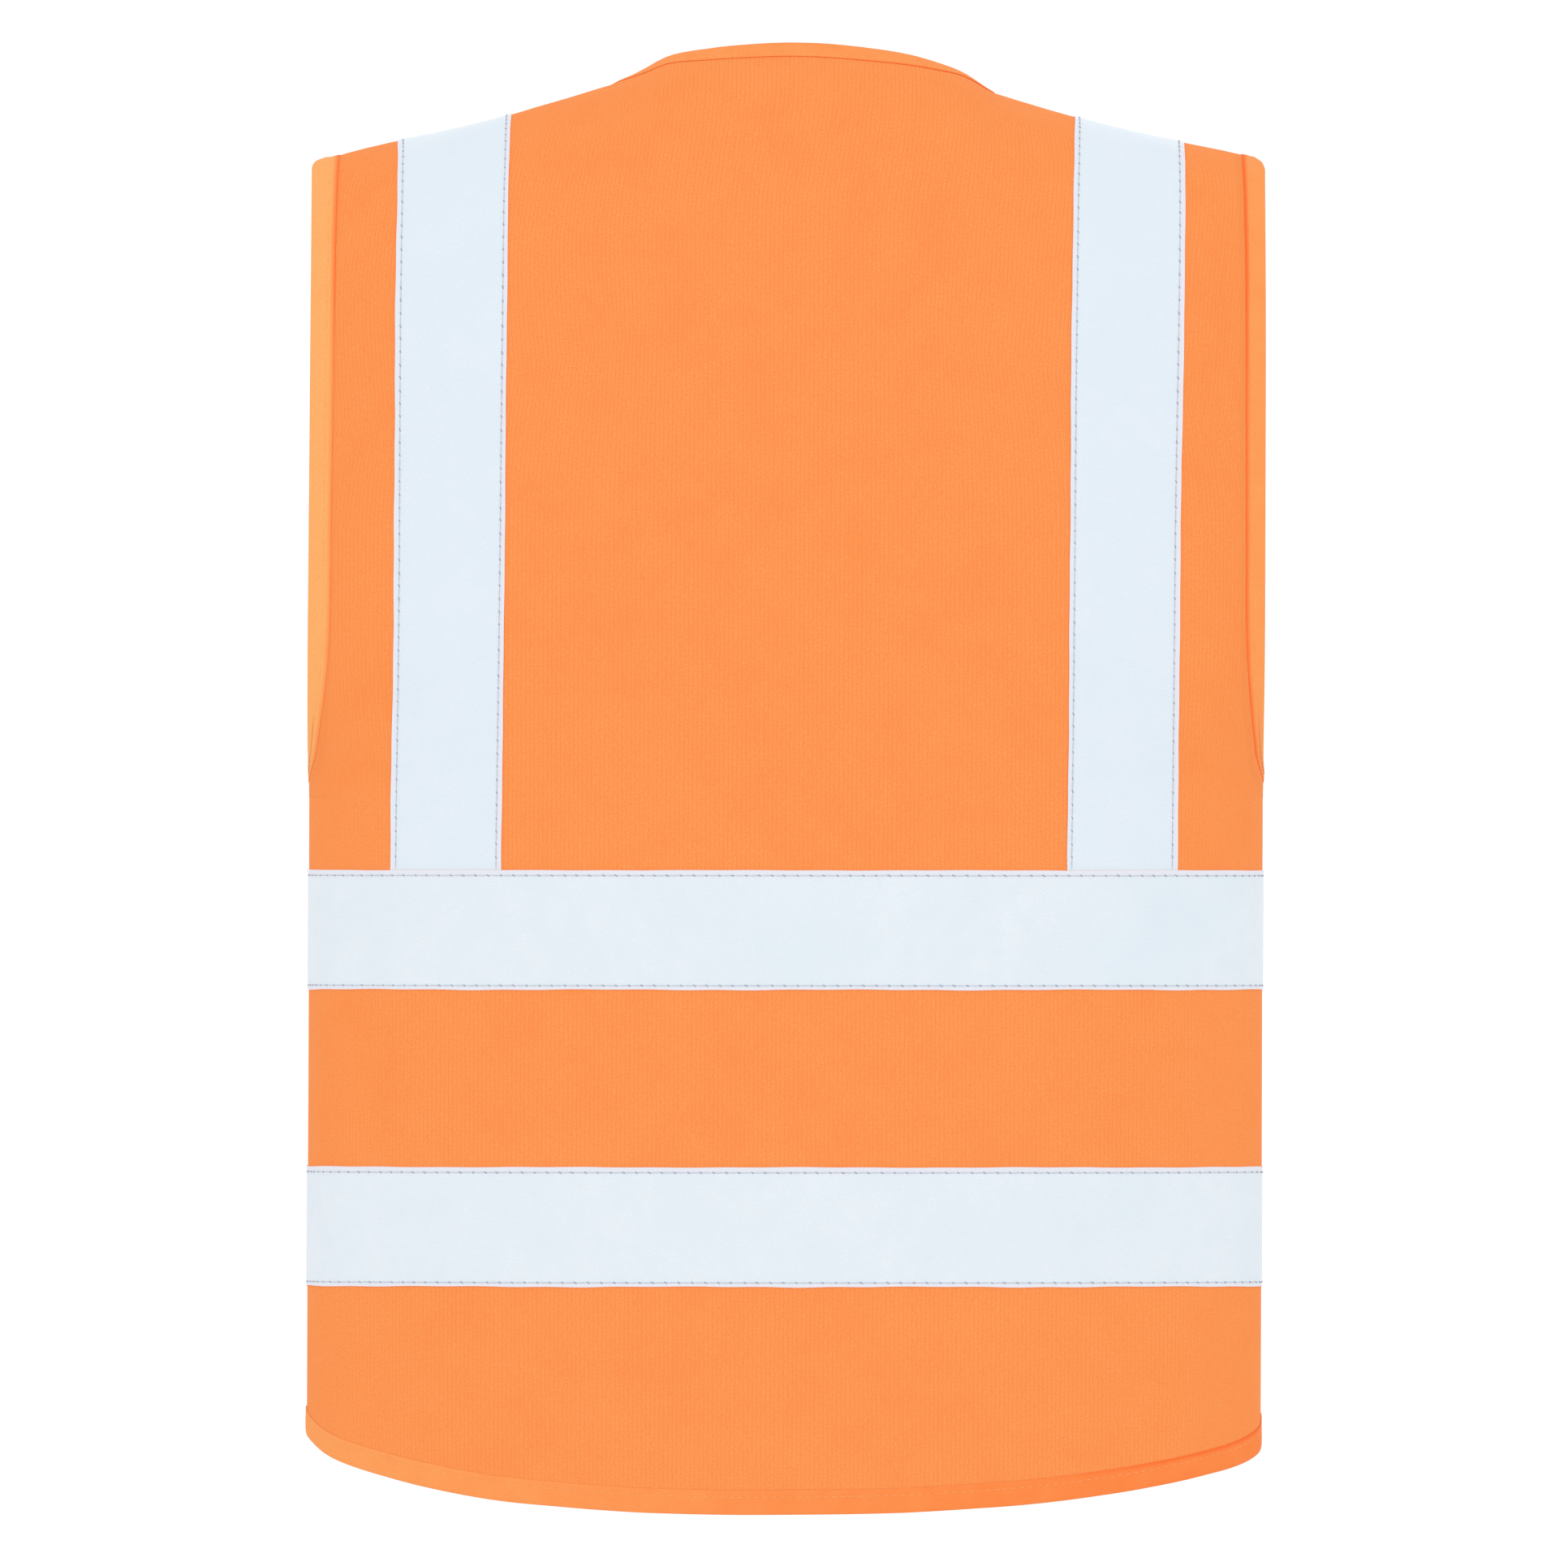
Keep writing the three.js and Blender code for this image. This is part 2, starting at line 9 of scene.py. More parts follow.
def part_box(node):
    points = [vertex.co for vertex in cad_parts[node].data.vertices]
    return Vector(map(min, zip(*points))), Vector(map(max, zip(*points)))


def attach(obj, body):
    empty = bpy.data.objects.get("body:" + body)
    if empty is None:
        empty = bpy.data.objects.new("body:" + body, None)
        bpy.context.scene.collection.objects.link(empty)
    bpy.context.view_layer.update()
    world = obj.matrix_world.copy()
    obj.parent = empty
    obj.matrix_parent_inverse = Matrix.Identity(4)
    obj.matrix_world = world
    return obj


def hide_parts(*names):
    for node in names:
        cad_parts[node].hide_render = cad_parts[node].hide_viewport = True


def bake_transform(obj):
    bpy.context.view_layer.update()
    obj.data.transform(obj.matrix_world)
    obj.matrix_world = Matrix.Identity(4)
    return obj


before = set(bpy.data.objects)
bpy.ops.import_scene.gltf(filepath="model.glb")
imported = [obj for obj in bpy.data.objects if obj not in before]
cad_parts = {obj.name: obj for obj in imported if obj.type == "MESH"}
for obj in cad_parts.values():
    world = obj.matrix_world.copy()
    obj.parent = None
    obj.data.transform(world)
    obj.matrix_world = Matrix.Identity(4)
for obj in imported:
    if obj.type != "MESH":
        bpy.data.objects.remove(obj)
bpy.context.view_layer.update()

# ---------------------------------------------------------------- the garment's shape, in millimetres
# The same formulas shape the CAD solids. A sheet point is named by a column u, counted from the
# centre back or the front edge towards the side, and a row v, counted up from the hem.
MM = 0.001
CLOTH = 1.0
TAPE_WIDTH = 50.0
MIDDLE_Z = 307.0
HALF_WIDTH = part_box("back_panel")[1].x / MM - CLOTH
BACK_DEPTH = -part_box("back_panel")[0].y / MM - CLOTH
FRONT_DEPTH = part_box("right_front_panel")[1].y / MM - CLOTH
POWER = 2.3
HEM_RISE = 36.0
FRONT_HEM_DROP = 14.0
EDGE_WRAP = 0.9
SHOULDER_X, SHOULDER_Z, SLOPE = 198.0, 567.0, 0.2
NECK_RISE, NECK_RISE_SPAN, NECK_RISE_POWER = 7.2, 119.0, 3.1
DROP, CURVE_POWER = 110.0, 2.6
NECK_X, NAPE_DEPTH, NAPE_Z, NAPE_INNER_Z, NECK_POWER = 72.0, 44.0, 615.2, 610.0, 2.9
V_START, OVERLAP = 410.0, 22.0
UNDERARM, SCYE_RISE = 312.0, 70.0
SCYE_EDGE = {True: 43.5, False: 50.0}
SCYE_PIN = {True: 50.8, False: 55.5}
BRACE_IN, BRACE_OUT = 118.0, 165.0
HEM_BINDING, NECK_BINDING, ARM_BINDING = 9.0, 8.0, 12.0
LIFT, LIFT_START, LIFT_LENGTH = 4.2, -70.0, 45.0
TIP_RADIUS, NECK_SHIFT, NECK_SLOPE, FULLNESS = 3.8, 6.0, 0.412, 1.0048
LEAN, SIDEWAYS, LEFT_LIFT, RIGHT_DROP, NOTCH = 0.0035, 0.2, 1.8, 4.8, 3.5
# Above: the shoulder tips' rounding and how the hung garment departs from symmetry. Below: small
# heights, in millimetres, that the shoulder line and the hem gain across the width.
TOP_X = [-198, -194, -190, -184, -176, -166, -140, -114, -104, -94, -86, -80, -74, -70, -66, -62,
         -58, -54, -50, -46, -40, -34, -26, -18, -8, 0, 10, 18, 26, 34, 42, 50, 58, 64, 68, 72, 76,
         80, 84, 90, 100, 120, 140, 170, 180, 188, 194, 198]
TOP_GAIN = [0.1, -0.6, -0.9, -0.2, 0.3, 0.6, 0.0, -0.2, -0.3, -0.8, -1.2, -1.5, -2.1, -2.6, -2.7,
            -2.4, -1.6, -0.5, 0.2, 0.2, -0.1, -0.4, -0.4, -0.4, -0.2, -0.1, -0.3, -0.7, -1.2, -1.5,
            -1.5, -1.2, -0.8, -0.2, 0.4, 0.9, 0.8, 0.0, -0.9, -0.6, -0.3, -0.1, 0.0, 0.4, 0.5, 0.3,
            -0.1, -0.2]
HEM_X = [-198, -193, -180, -120, -95, -60, -20, 10, 50, 64, 80, 100, 132, 155, 166, 175, 190, 198]
HEM_GAIN = [-0.2, 0.2, 0.4, 0.55, 0.65, 0.15, 0.15, 0.35, 0.45, 0.7, 0.9, 0.9, 1.25, 1.05, 0.7,
            0.15, 0.3, 0.1]
ON_SEAM = 0.01
LOWER = [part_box("back_waist_tape_lower")[k].z / MM for k in (0, 1)]
UPPER = [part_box("back_waist_tape_upper")[k].z / MM for k in (0, 1)]
BANDS = LOWER + UPPER
NECK_PIN = NECK_X + NECK_BINDING
ROW_UNDERARM, ROW_SCYE, ROW_V, ROW_CURVE, ROW_TOP, ROW_NECK = 6, 10, 11, 14, 20, 21
NECK_STEPS = 4
BACK_X = [NECK_PIN * math.sin(math.pi / 2 * i / NECK_STEPS) for i in range(NECK_STEPS + 1)]
BACK_X += [(NECK_PIN + BRACE_IN) / 2, BRACE_IN, (BRACE_IN + BRACE_OUT) / 2, BRACE_OUT]
BACK_PIN, BACK_BRACE = len(BACK_X) + 3, 6
FRONT_PIN, FRONT_BRACE = 11, 5
OUTER_STEPS = 4


def lerp(a, b, t):
    return a + (b - a) * t


def smooth(t):
    t = np.clip(t, 0, 1)
    return t * t * (3 - 2 * t)


def section(t):
    """The garment's outline from above: depth, as a share, at a share t of the half width."""
    return (1 - np.minimum(np.abs(t), 1) ** POWER) ** (1 / POWER)


def half_width(z):
    """Half the width at a height, widened where the armhole cuts the side away."""
    c = np.clip(1 - (z - UNDERARM) / SCYE_RISE, 0, 1)
    return HALF_WIDTH / section(SCYE_EDGE[True] * np.sqrt(1 - c * c) / BACK_DEPTH)


def shoulder(x):
    """Height of the shoulder line."""
    d = np.maximum(SHOULDER_X - np.abs(x), 0)
    return SHOULDER_Z + SLOPE * d + NECK_RISE * (d / NECK_RISE_SPAN) ** NECK_RISE_POWER


class Face:
    """One side of the shell: the back, or a front half."""

    def __init__(self, back):
        self.back = back
        self.depth = BACK_DEPTH if back else FRONT_DEPTH

    def neck_share(self, x):
        t = np.minimum(np.abs(x) / NECK_PIN, 1)
        depth = (NAPE_DEPTH + 6) * np.sqrt(1 - t * t)
        z = NAPE_INNER_Z - (NAPE_INNER_Z - shoulder(NECK_PIN)) * t**NECK_POWER
        return z, depth / (self.depth * section(x / half_width(V_START)))

    def ridge(self, x):
        if not self.back:
            return shoulder(x)
        z, share = self.neck_share(x)
        under = z + DROP * (1 - (1 - share**CURVE_POWER) ** (1 / CURVE_POWER))
        return np.where(np.abs(x) >= NECK_PIN, shoulder(x), under)

    def top_angle(self, x):
        if not self.back:
            return np.full_like(x, math.pi / 2)
        share = self.neck_share(x)[1]
        return np.where(np.abs(x) >= NECK_PIN, math.pi / 2, np.arccos(share ** (CURVE_POWER / 2)))

    def hem(self, x):
        drop = HEM_RISE if self.back else FRONT_HEM_DROP
        return EDGE_WRAP + HEM_RISE - drop * section(x / HALF_WIDTH)

    def height(self, x, v):
        pin_z = UNDERARM - ARM_BINDING
        rise = SCYE_RISE + ARM_BINDING
        if v < 2:
            hem = self.hem(x)
            return hem + HEM_BINDING * v if v <= 1 else lerp(hem + HEM_BINDING, BANDS[0], v - 1)
        if v <= ROW_UNDERARM:
            return np.interp(v, [2, 3, 4, 5, 6], BANDS + [pin_z]) + 0 * x
        if v <= ROW_SCYE:
            return pin_z + rise * (1 - math.cos(scye_angle(v))) + 0 * x
        if v <= ROW_V:
            return lerp(pin_z + rise, V_START, v - ROW_SCYE) + 0 * x
        start = self.ridge(x) - DROP
        if v < ROW_CURVE:
            return lerp(V_START, start, (v - ROW_V) / (ROW_CURVE - ROW_V))
        return start + DROP * np.sin(self.curve_angle(x, v)) ** (2 / CURVE_POWER)

    def curve_angle(self, x, v):
        return self.top_angle(x) * max((v - ROW_CURVE) / (ROW_TOP - ROW_CURVE), 0)

    def point(self, x, v):
        z = self.height(x, v)
        bend = np.maximum(np.cos(self.curve_angle(x, v)), 0) ** (2 / CURVE_POWER)
        y = self.depth * section(x / half_width(z)) * bend
        return np.stack([x, y, z], -1)

    def armhole_x(self, v, depth, top):
        # From the straight scye the edge swings out to the shoulder tip.
        at_scye = half_width(V_START) * section(depth / self.depth)
        share = (v - ROW_SCYE) / (ROW_TOP - ROW_SCYE)
        return lerp(at_scye, top, share * share)

    def pin_x(self, v):
        """The last column before the armhole binding, or the side seam below it."""
        if v <= ROW_UNDERARM:
            return HALF_WIDTH
        if v <= ROW_SCYE:
            depth = SCYE_PIN[self.back] * math.sin(scye_angle(v))
            return float(half_width(self.height(0.0, v)) * section(depth / self.depth))
        return self.armhole_x(v, SCYE_PIN[self.back], SHOULDER_X - ARM_BINDING)

    def armhole(self, v):
        """A point of the armhole's bound edge."""
        if v <= ROW_SCYE:
            angle = scye_angle(v)
            depth = SCYE_EDGE[self.back] * math.sin(angle)
            z = UNDERARM + SCYE_RISE * (1 - math.cos(angle))
            return np.array([half_width(z) * section(depth / self.depth), depth, z])
        return self.point(np.array(self.armhole_x(v, SCYE_EDGE[self.back], SHOULDER_X)), v)

    def outer_x(self, step, v):
        a = half_width(self.height(BRACE_OUT, v))
        first, last = (math.asin(min(x / a, 1) ** (POWER / 2)) for x in (BRACE_OUT, self.pin_x(v)))
        return a * np.sin(lerp(first, last, step / OUTER_STEPS)) ** (2 / POWER)

    def edge_x(self, v):
        """The front edge: straight up from the hem, then a straight slant to the neck."""
        if v <= ROW_V:
            return -OVERLAP
        low, high = -OVERLAP, NECK_X
        for _ in range(40):
            middle = (low + high) / 2
            share = (middle + OVERLAP) / (NECK_X + OVERLAP)
            line = lerp(V_START, shoulder(NECK_X), share)
            if self.height(np.array(middle), v) > line:
                low = middle
            else:
                high = middle
        return high

    def columns(self, us, v):
        """Where the columns cross a row."""
        brace = BACK_BRACE if self.back else FRONT_BRACE
        if self.back:
            x = np.interp(us, range(len(BACK_X)), BACK_X)
        else:
            edge = self.edge_x(v)
            pin = edge + NECK_BINDING
            x = np.interp(us, [0, 1, brace, brace + 2], [edge, pin, BRACE_IN, BRACE_OUT])
        step = np.clip(us - brace - 2, 0, OUTER_STEPS)
        return np.where(step > 0, self.outer_x(step, v), x)


def scye_angle(v):
    return math.pi / 2 * min(max((v - ROW_UNDERARM) / (ROW_SCYE - ROW_UNDERARM), 0), 1)


def spread(whole, sizes, step):
    """Parameter values from each whole number to the next, close enough for the step."""
    out = [float(whole[0])]
    for a, b, size in zip(whole, whole[1:], sizes):
        n = max(1, math.ceil(size / step))
        out += [a + (b - a) * (i + 1) / n for i in range(n)]
    return np.array(out)


def settle(p):
    """The hung cloth's small departures from symmetry, and its rounded shoulder tips."""
    x, y, z = (np.array(p[..., k]) for k in range(3))
    side, far = np.sign(x), np.abs(x)
    a = np.clip((far - SHOULDER_X + TIP_RADIUS) / TIP_RADIUS, 0, None)
    b = np.clip(1 - (shoulder(x) - z) / TIP_RADIUS, 0, None)
    tip = (a > 0) & (b > 0)
    pull = np.where(tip, np.maximum(a, b) / np.maximum(np.hypot(a, b), 1e-9), 1)
    x = np.where(tip, side * (SHOULDER_X - TIP_RADIUS + TIP_RADIUS * a * pull), x)
    z = np.where(tip, z - TIP_RADIUS * b * (1 - pull), z)
    near = smooth((z - 540) / 60) * (1 - smooth((far - NECK_X) / 60))
    shift = NECK_SHIFT * near
    inner = -side * NECK_SLOPE * shift * np.minimum(far / NECK_X, 1) ** 3
    z = z + np.where(far < NECK_X, inner, shoulder(x + shift) - shoulder(x))
    corners = LEFT_LIFT * smooth((-x - 110) / 60) - RIGHT_DROP * smooth((x - 172) / 30)
    corners = corners + np.interp(x, HEM_X, HEM_GAIN) - NOTCH * np.exp(-((y / 14) ** 2))
    top = np.interp(x + shift, TOP_X, TOP_GAIN) * smooth((z - 520) / 50)
    x = (x + shift) * FULLNESS + LEAN * (z - MIDDLE_Z) + SIDEWAYS
    return np.stack([x, y, z + top + corners * smooth((75 - z) / 60)], -1)


def ripple(p):
    """How far the hanging cloth stands off its plain shape, in millimetres."""
    x, y, z = p[..., 0], p[..., 1], p[..., 2]
    around = x + 0.6 * y * np.tanh(x / 50)
    soft = 0.55 * np.sin(around / 31 + z / 150 + 0.6) * np.sin(z / 83 + 1.1)
    soft += 0.4 * np.sin(around / 17.5 - z / 120 + 2.0) * np.cos(z / 61 + 0.4)
    soft += 0.3 * np.sin(around / 47 + 1.7) + 0.2 * np.sin(z / 29 + x / 70)
    side = smooth((np.abs(x) - 120) / 60) * smooth((330 - z) / 120)
    soft += 0.8 * side * np.sin(around / 9.5 + z / 210)
    return soft * smooth(np.abs(y) / 22)


class Sheet:
    """A dense grid of the surface that every layer of one panel is sampled from."""

    STEP = 4.0

    def __init__(self, side):
        self.side = side
        face = self.face = Face(side == 0)
        self.pin = BACK_PIN if side == 0 else FRONT_PIN
        outer = [17, 17, 17, 17, ARM_BINDING]
        if side == 0:
            widths = list(np.diff(BACK_X)) + outer
        else:
            widths = [NECK_BINDING] + [30] * 4 + [23.5] * 2 + outer
        rows = [9, 85, 50, 74, 50, 30, 20, 20, 28, 32, 28, 36, 36, 36, 40, 32, 30, 26, 26, 28, 8]
        us = spread(range(self.pin + 2), widths, self.STEP)
        self.vs = spread(range(ROW_NECK + 1), rows, self.STEP)
        p = np.full((len(us), len(self.vs), 3), np.nan)
        main, strip = us <= self.pin, us > self.pin
        neck = us <= NECK_STEPS
        for j, v in enumerate(self.vs):
            if v <= ROW_TOP:
                p[main, j] = face.point(face.columns(us[main], v), v)
                if v >= ROW_UNDERARM:
                    t = (us[strip] - self.pin)[:, None]
                    p[strip, j] = lerp(p[main, j][-1], face.armhole(v), t)
            elif side == 0:
                x = face.columns(us[neck], ROW_TOP)
                share = np.minimum(x / NECK_PIN, 1)
                drop = (NAPE_Z - shoulder(NECK_X)) * share**NECK_POWER
                y = NAPE_DEPTH * np.sqrt(1 - share**2)
                rim = np.stack([NECK_X * share, y, NAPE_Z - drop], -1)
                p[neck, j] = lerp(face.point(x, ROW_TOP), rim, v - ROW_TOP)
        if side == 0:
            p = np.concatenate([p[:0:-1] * [-1, 1, 1], p]) * [1, -1, 1]
            us = np.concatenate([-us[:0:-1], us])
        else:
            p = p * [side, 1, 1]
        self.us, self.p = us, settle(p)
        self.cells = ~np.isnan(p[:-1, :-1, 0] + p[1:, :-1, 0] + p[:-1, 1:, 0] + p[1:, 1:, 0])
        self.set_normals()
        if side < 0:
            lift = LIFT * smooth((self.p[..., 0] - LIFT_START) / LIFT_LENGTH)
            self.p = self.p + self.n * lift[..., None]
            self.set_normals()
        self.p = self.p + self.n * ripple(self.p)[..., None]
        self.set_normals()
        self.set_lengths()

    def set_normals(self):
        p = np.nan_to_num(self.p)
        n = np.cross(p[1:, 1:] - p[:-1, :-1], p[:-1, 1:] - p[1:, :-1])
        n = n * (self.cells[..., None] * (-1 if self.side > 0 else 1))
        total = np.zeros_like(p)
        for i in (0, 1):
            for j in (0, 1):
                total[i : p.shape[0] - 1 + i, j : p.shape[1] - 1 + j] += n
        total[..., 1] = np.where(np.abs(p[..., 1]) < ON_SEAM, 0, total[..., 1])
        size = np.linalg.norm(total, axis=-1, keepdims=True)
        self.n = total / np.maximum(size, 1e-9)

    def set_lengths(self):
        """Distances along the cloth, across and up, which the knit follows."""
        p = np.nan_to_num(self.p)
        across = np.linalg.norm(np.diff(p, axis=0), axis=-1)
        up = np.linalg.norm(np.diff(p, axis=1), axis=-1)
        across = np.concatenate([np.zeros((1, p.shape[1])), np.cumsum(across * (across < 20), 0)])
        up = np.concatenate([np.zeros((p.shape[0], 1)), np.cumsum(up * (up < 20), 1)], 1)
        datum = np.argmin(np.abs(self.us - (0 if self.side == 0 else FRONT_BRACE)))
        row = np.argmin(np.abs(self.vs - 5))
        sign = 1 if self.side >= 0 else -1
        self.uv = np.stack([(across - across[datum]) * sign, up - up[:, row : row + 1]], -1)

    def sample(self, u, v):
        """Points, normals and lengths at any parameters inside the sheet."""
        u, v = np.broadcast_arrays(np.asarray(u, float), np.asarray(v, float))
        i = np.clip(np.searchsorted(self.us, u - 1e-9) - 1, 0, len(self.us) - 2)
        j = np.clip(np.searchsorted(self.vs, v - 1e-9) - 1, 0, len(self.vs) - 2)
        s = ((u - self.us[i]) / (self.us[i + 1] - self.us[i]))[..., None]
        t = ((v - self.vs[j]) / (self.vs[j + 1] - self.vs[j]))[..., None]
        out = []
        for a in (np.nan_to_num(self.p), self.n, self.uv):
            low, high = (a[i, k] * (1 - s) + a[i + 1, k] * s for k in (j, j + 1))
            out.append(low * (1 - t) + high * t)
        out[1] = out[1] / np.maximum(np.linalg.norm(out[1], axis=-1, keepdims=True), 1e-9)
        return out


# ---------------------------------------------------------------- mesh making
TAPE_PITCH, EDGE_PITCH, STITCH_GAP, STITCH_JITTER, TICK_HALF = 5.4, 3.6, 0.7, 0.25, 0.75


def run_lengths(p):
    """Distances along a line of points, from its start."""
    return np.concatenate([[0], np.cumsum(np.linalg.norm(np.diff(p, axis=0), axis=-1))])


def set_values(mesh, name, values):
    """A number for each point, which the materials read by its name."""
    mesh.attributes.new(name, "FLOAT", "POINT").data.foreach_set("value", np.asarray(values, np.float32))


def make_object(name, verts, faces, uv, material, tone=None, smooth_angle=50, fix=True):
    """A mesh object in metres from points in millimetres, with its lengths as UVs."""
    mesh = bpy.data.meshes.new(name)
    mesh.from_pydata((np.asarray(verts) * MM).tolist(), [], faces)
    layer = mesh.uv_layers.new(name="lengths")
    loops = np.zeros(len(mesh.loops), np.int32)
    mesh.loops.foreach_get("vertex_index", loops)
    layer.data.foreach_set("uv", (np.asarray(uv) * MM)[loops].astype(np.float32).ravel())
    if tone is not None:
        set_values(mesh, "tone", tone)
    if fix:
        bm = bmesh.new()
        bm.from_mesh(mesh)
        bmesh.ops.recalc_face_normals(bm, faces=bm.faces)
        bm.to_mesh(mesh)
        bm.free()
    mesh.shade_smooth()
    mesh.set_sharp_from_angle(angle=math.radians(smooth_angle))
    mesh.materials.append(material)
    mesh.validate()
    obj = bpy.data.objects.new(name, mesh)
    bpy.context.scene.collection.objects.link(obj)
    return obj


def skin_layer(name, p, n, uv, low, high, material, tone=None, cells=None, smooth_angle=65):
    """A layer between two heights above a grid of points, in its filled cells, closed all round."""
    high, low = (np.broadcast_to(np.asarray(h, float), p.shape[:2])[..., None] for h in (high, low))
    verts = np.concatenate([(p + n * high).reshape(-1, 3), (p + n * low).reshape(-1, 3)])
    cells = np.ones((p.shape[0] - 1, p.shape[1] - 1), bool) if cells is None else cells
    filled = np.pad(cells, 1)
    number = np.arange(p.shape[0] * p.shape[1]).reshape(p.shape[:2])
    faces, half = [], number.size
    for i, j in np.argwhere(cells):
        a, b, c, d = (int(number[k]) for k in ((i, j), (i + 1, j), (i + 1, j + 1), (i, j + 1)))
        faces += [(a, b, c, d), (a + half, d + half, c + half, b + half)]
        for x, y, beside in ((a, b, (0, -1)), (b, c, (1, 0)), (c, d, (0, 1)), (d, a, (-1, 0))):
            if not filled[i + 1 + beside[0], j + 1 + beside[1]]:
                faces.append((y, x, x + half, y + half))
    used = np.zeros(2 * half, bool)
    used[np.unique(faces)] = True
    faces = (np.cumsum(used) - 1)[np.array(faces)].tolist()
    uv = np.concatenate([uv.reshape(-1, 2)] * 2)[used]
    if tone is not None:
        tone = np.concatenate([np.asarray(tone).ravel()] * 2)[used]
    return make_object(name, verts[used], faces, uv, material, tone, smooth_angle)


def closed_layer(name, sheet, us, vs, low, high, material, cells=None):
    """A layer over whole columns and rows of a sheet."""
    u, v = np.meshgrid(us, vs, indexing="ij")
    return skin_layer(name, *sheet.sample(u, v), low, high, material, cells=cells, smooth_angle=50)


def binding(name, sheet, pins, edges, material, thread, reach=1.0, light=0.5, line=1.0,
            stitch=2.5):
    """A folded strip carried along a bound edge, with the cloth caught inside it.
    reach is how much of the strip's width the outer leg covers, light how pale the strip is,
    line how strong the painted shade is along the leg's edge, and stitch how far in the seam runs."""
    pu, pv = np.array(pins, float).T
    eu, ev = np.array(edges, float).T
    pe, ne, _ = sheet.sample(eu, ev)
    pp, _, _ = sheet.sample(pu, pv)
    out = pe - pp
    width = float(np.median(np.linalg.norm(out, axis=-1)))
    out = out - np.sum(out * ne, -1, keepdims=True) * ne
    out = out / np.linalg.norm(out, axis=-1, keepdims=True)
    length = run_lengths(pe)
    reach = width * (reach(pe) if callable(reach) else reach + 0 * length)
    light = light(pe) if callable(light) else light + 0 * length
    line = line(pe) if callable(line) else line + 0 * length
    pucker = 0.06 * np.sin(length * 2 * math.pi / EDGE_PITCH)
    # The fold's outline: share of the leg's width, shift inwards, height and how much painted shade darkens
    # the strip there.
    profile = [(1, 0, 0.7, 1), (1, 0.05, 0.88, 1), (1, -0.5, 1.04, 0.7), (1, 0.8 - stitch, 1.14, 0),
               (1, -stitch, 0.98, 0.05), (1, -stitch - 0.8, 1.14, 0), (0.45, 0, 1.2, 0), (0, 1.2, 1.22, 0),
               (0, 0.3, 1.18, 0), (0, -0.45, 1.02, 0), (0, -0.82, 0.75, 0), (0, -0.9, 0.45, 0),
               (0, -0.78, 0.12, 0), (0, -0.4, -0.12, 0), (0, 0.3, -0.28, 0), (0.5, 0, -0.34, 0),
               (1, -stitch - 0.8, -0.26, 0), (1, -stitch, -0.1, 0.2), (1, -0.9, -0.28, 0.2),
               (1, 0, -0.05, 1), (1, 0, 0.3, 1)]
    rings, uvs, tones = [], [], []
    around = 0.0
    for k, (share, shift, d, tone) in enumerate(profile):
        a = share * reach + shift
        if share or shift > 0:
            t = np.minimum(a / width, 1.01)
            p, n, _ = sheet.sample(lerp(eu, pu, t), lerp(ev, pv, t))
        else:
            p, n = pe - out * shift, ne
        lift = d + (pucker if share == 1 and d > 0.9 else 0)
        rings.append(p + n * np.reshape(lift + 0 * length, (-1, 1)))
        here = (float(np.median(a)), d)
        around += math.dist(here, last) if k else 0
        last = here
        uvs.append(np.stack([length, np.full_like(length, around)], -1))
        tones.append(tone * line)
    verts = np.stack(rings, 1).reshape(-1, 3)
    m, count = len(profile), len(length)
    faces = []
    for s in range(count - 1):
        for k in range(m):
            q = (k + 1) % m
            faces.append((s * m + k, s * m + q, (s + 1) * m + q, (s + 1) * m + k))
    faces.append(tuple(range(m - 1, -1, -1)))
    faces.append(tuple((count - 1) * m + k for k in range(m)))
    uv, tones = np.stack(uvs, 1).reshape(-1, 2), np.stack(tones, 1).ravel()
    made = make_object(name, verts, faces, uv, material, tones, 60)
    set_values(made.data, "light", np.repeat(light, m))
    t = (reach - stitch) / width
    thread.run(sheet, lerp(eu, pu, t), lerp(ev, pv, t), 0.9,
               pitch=EDGE_PITCH, radius=0.16, ticks=False)
    return made


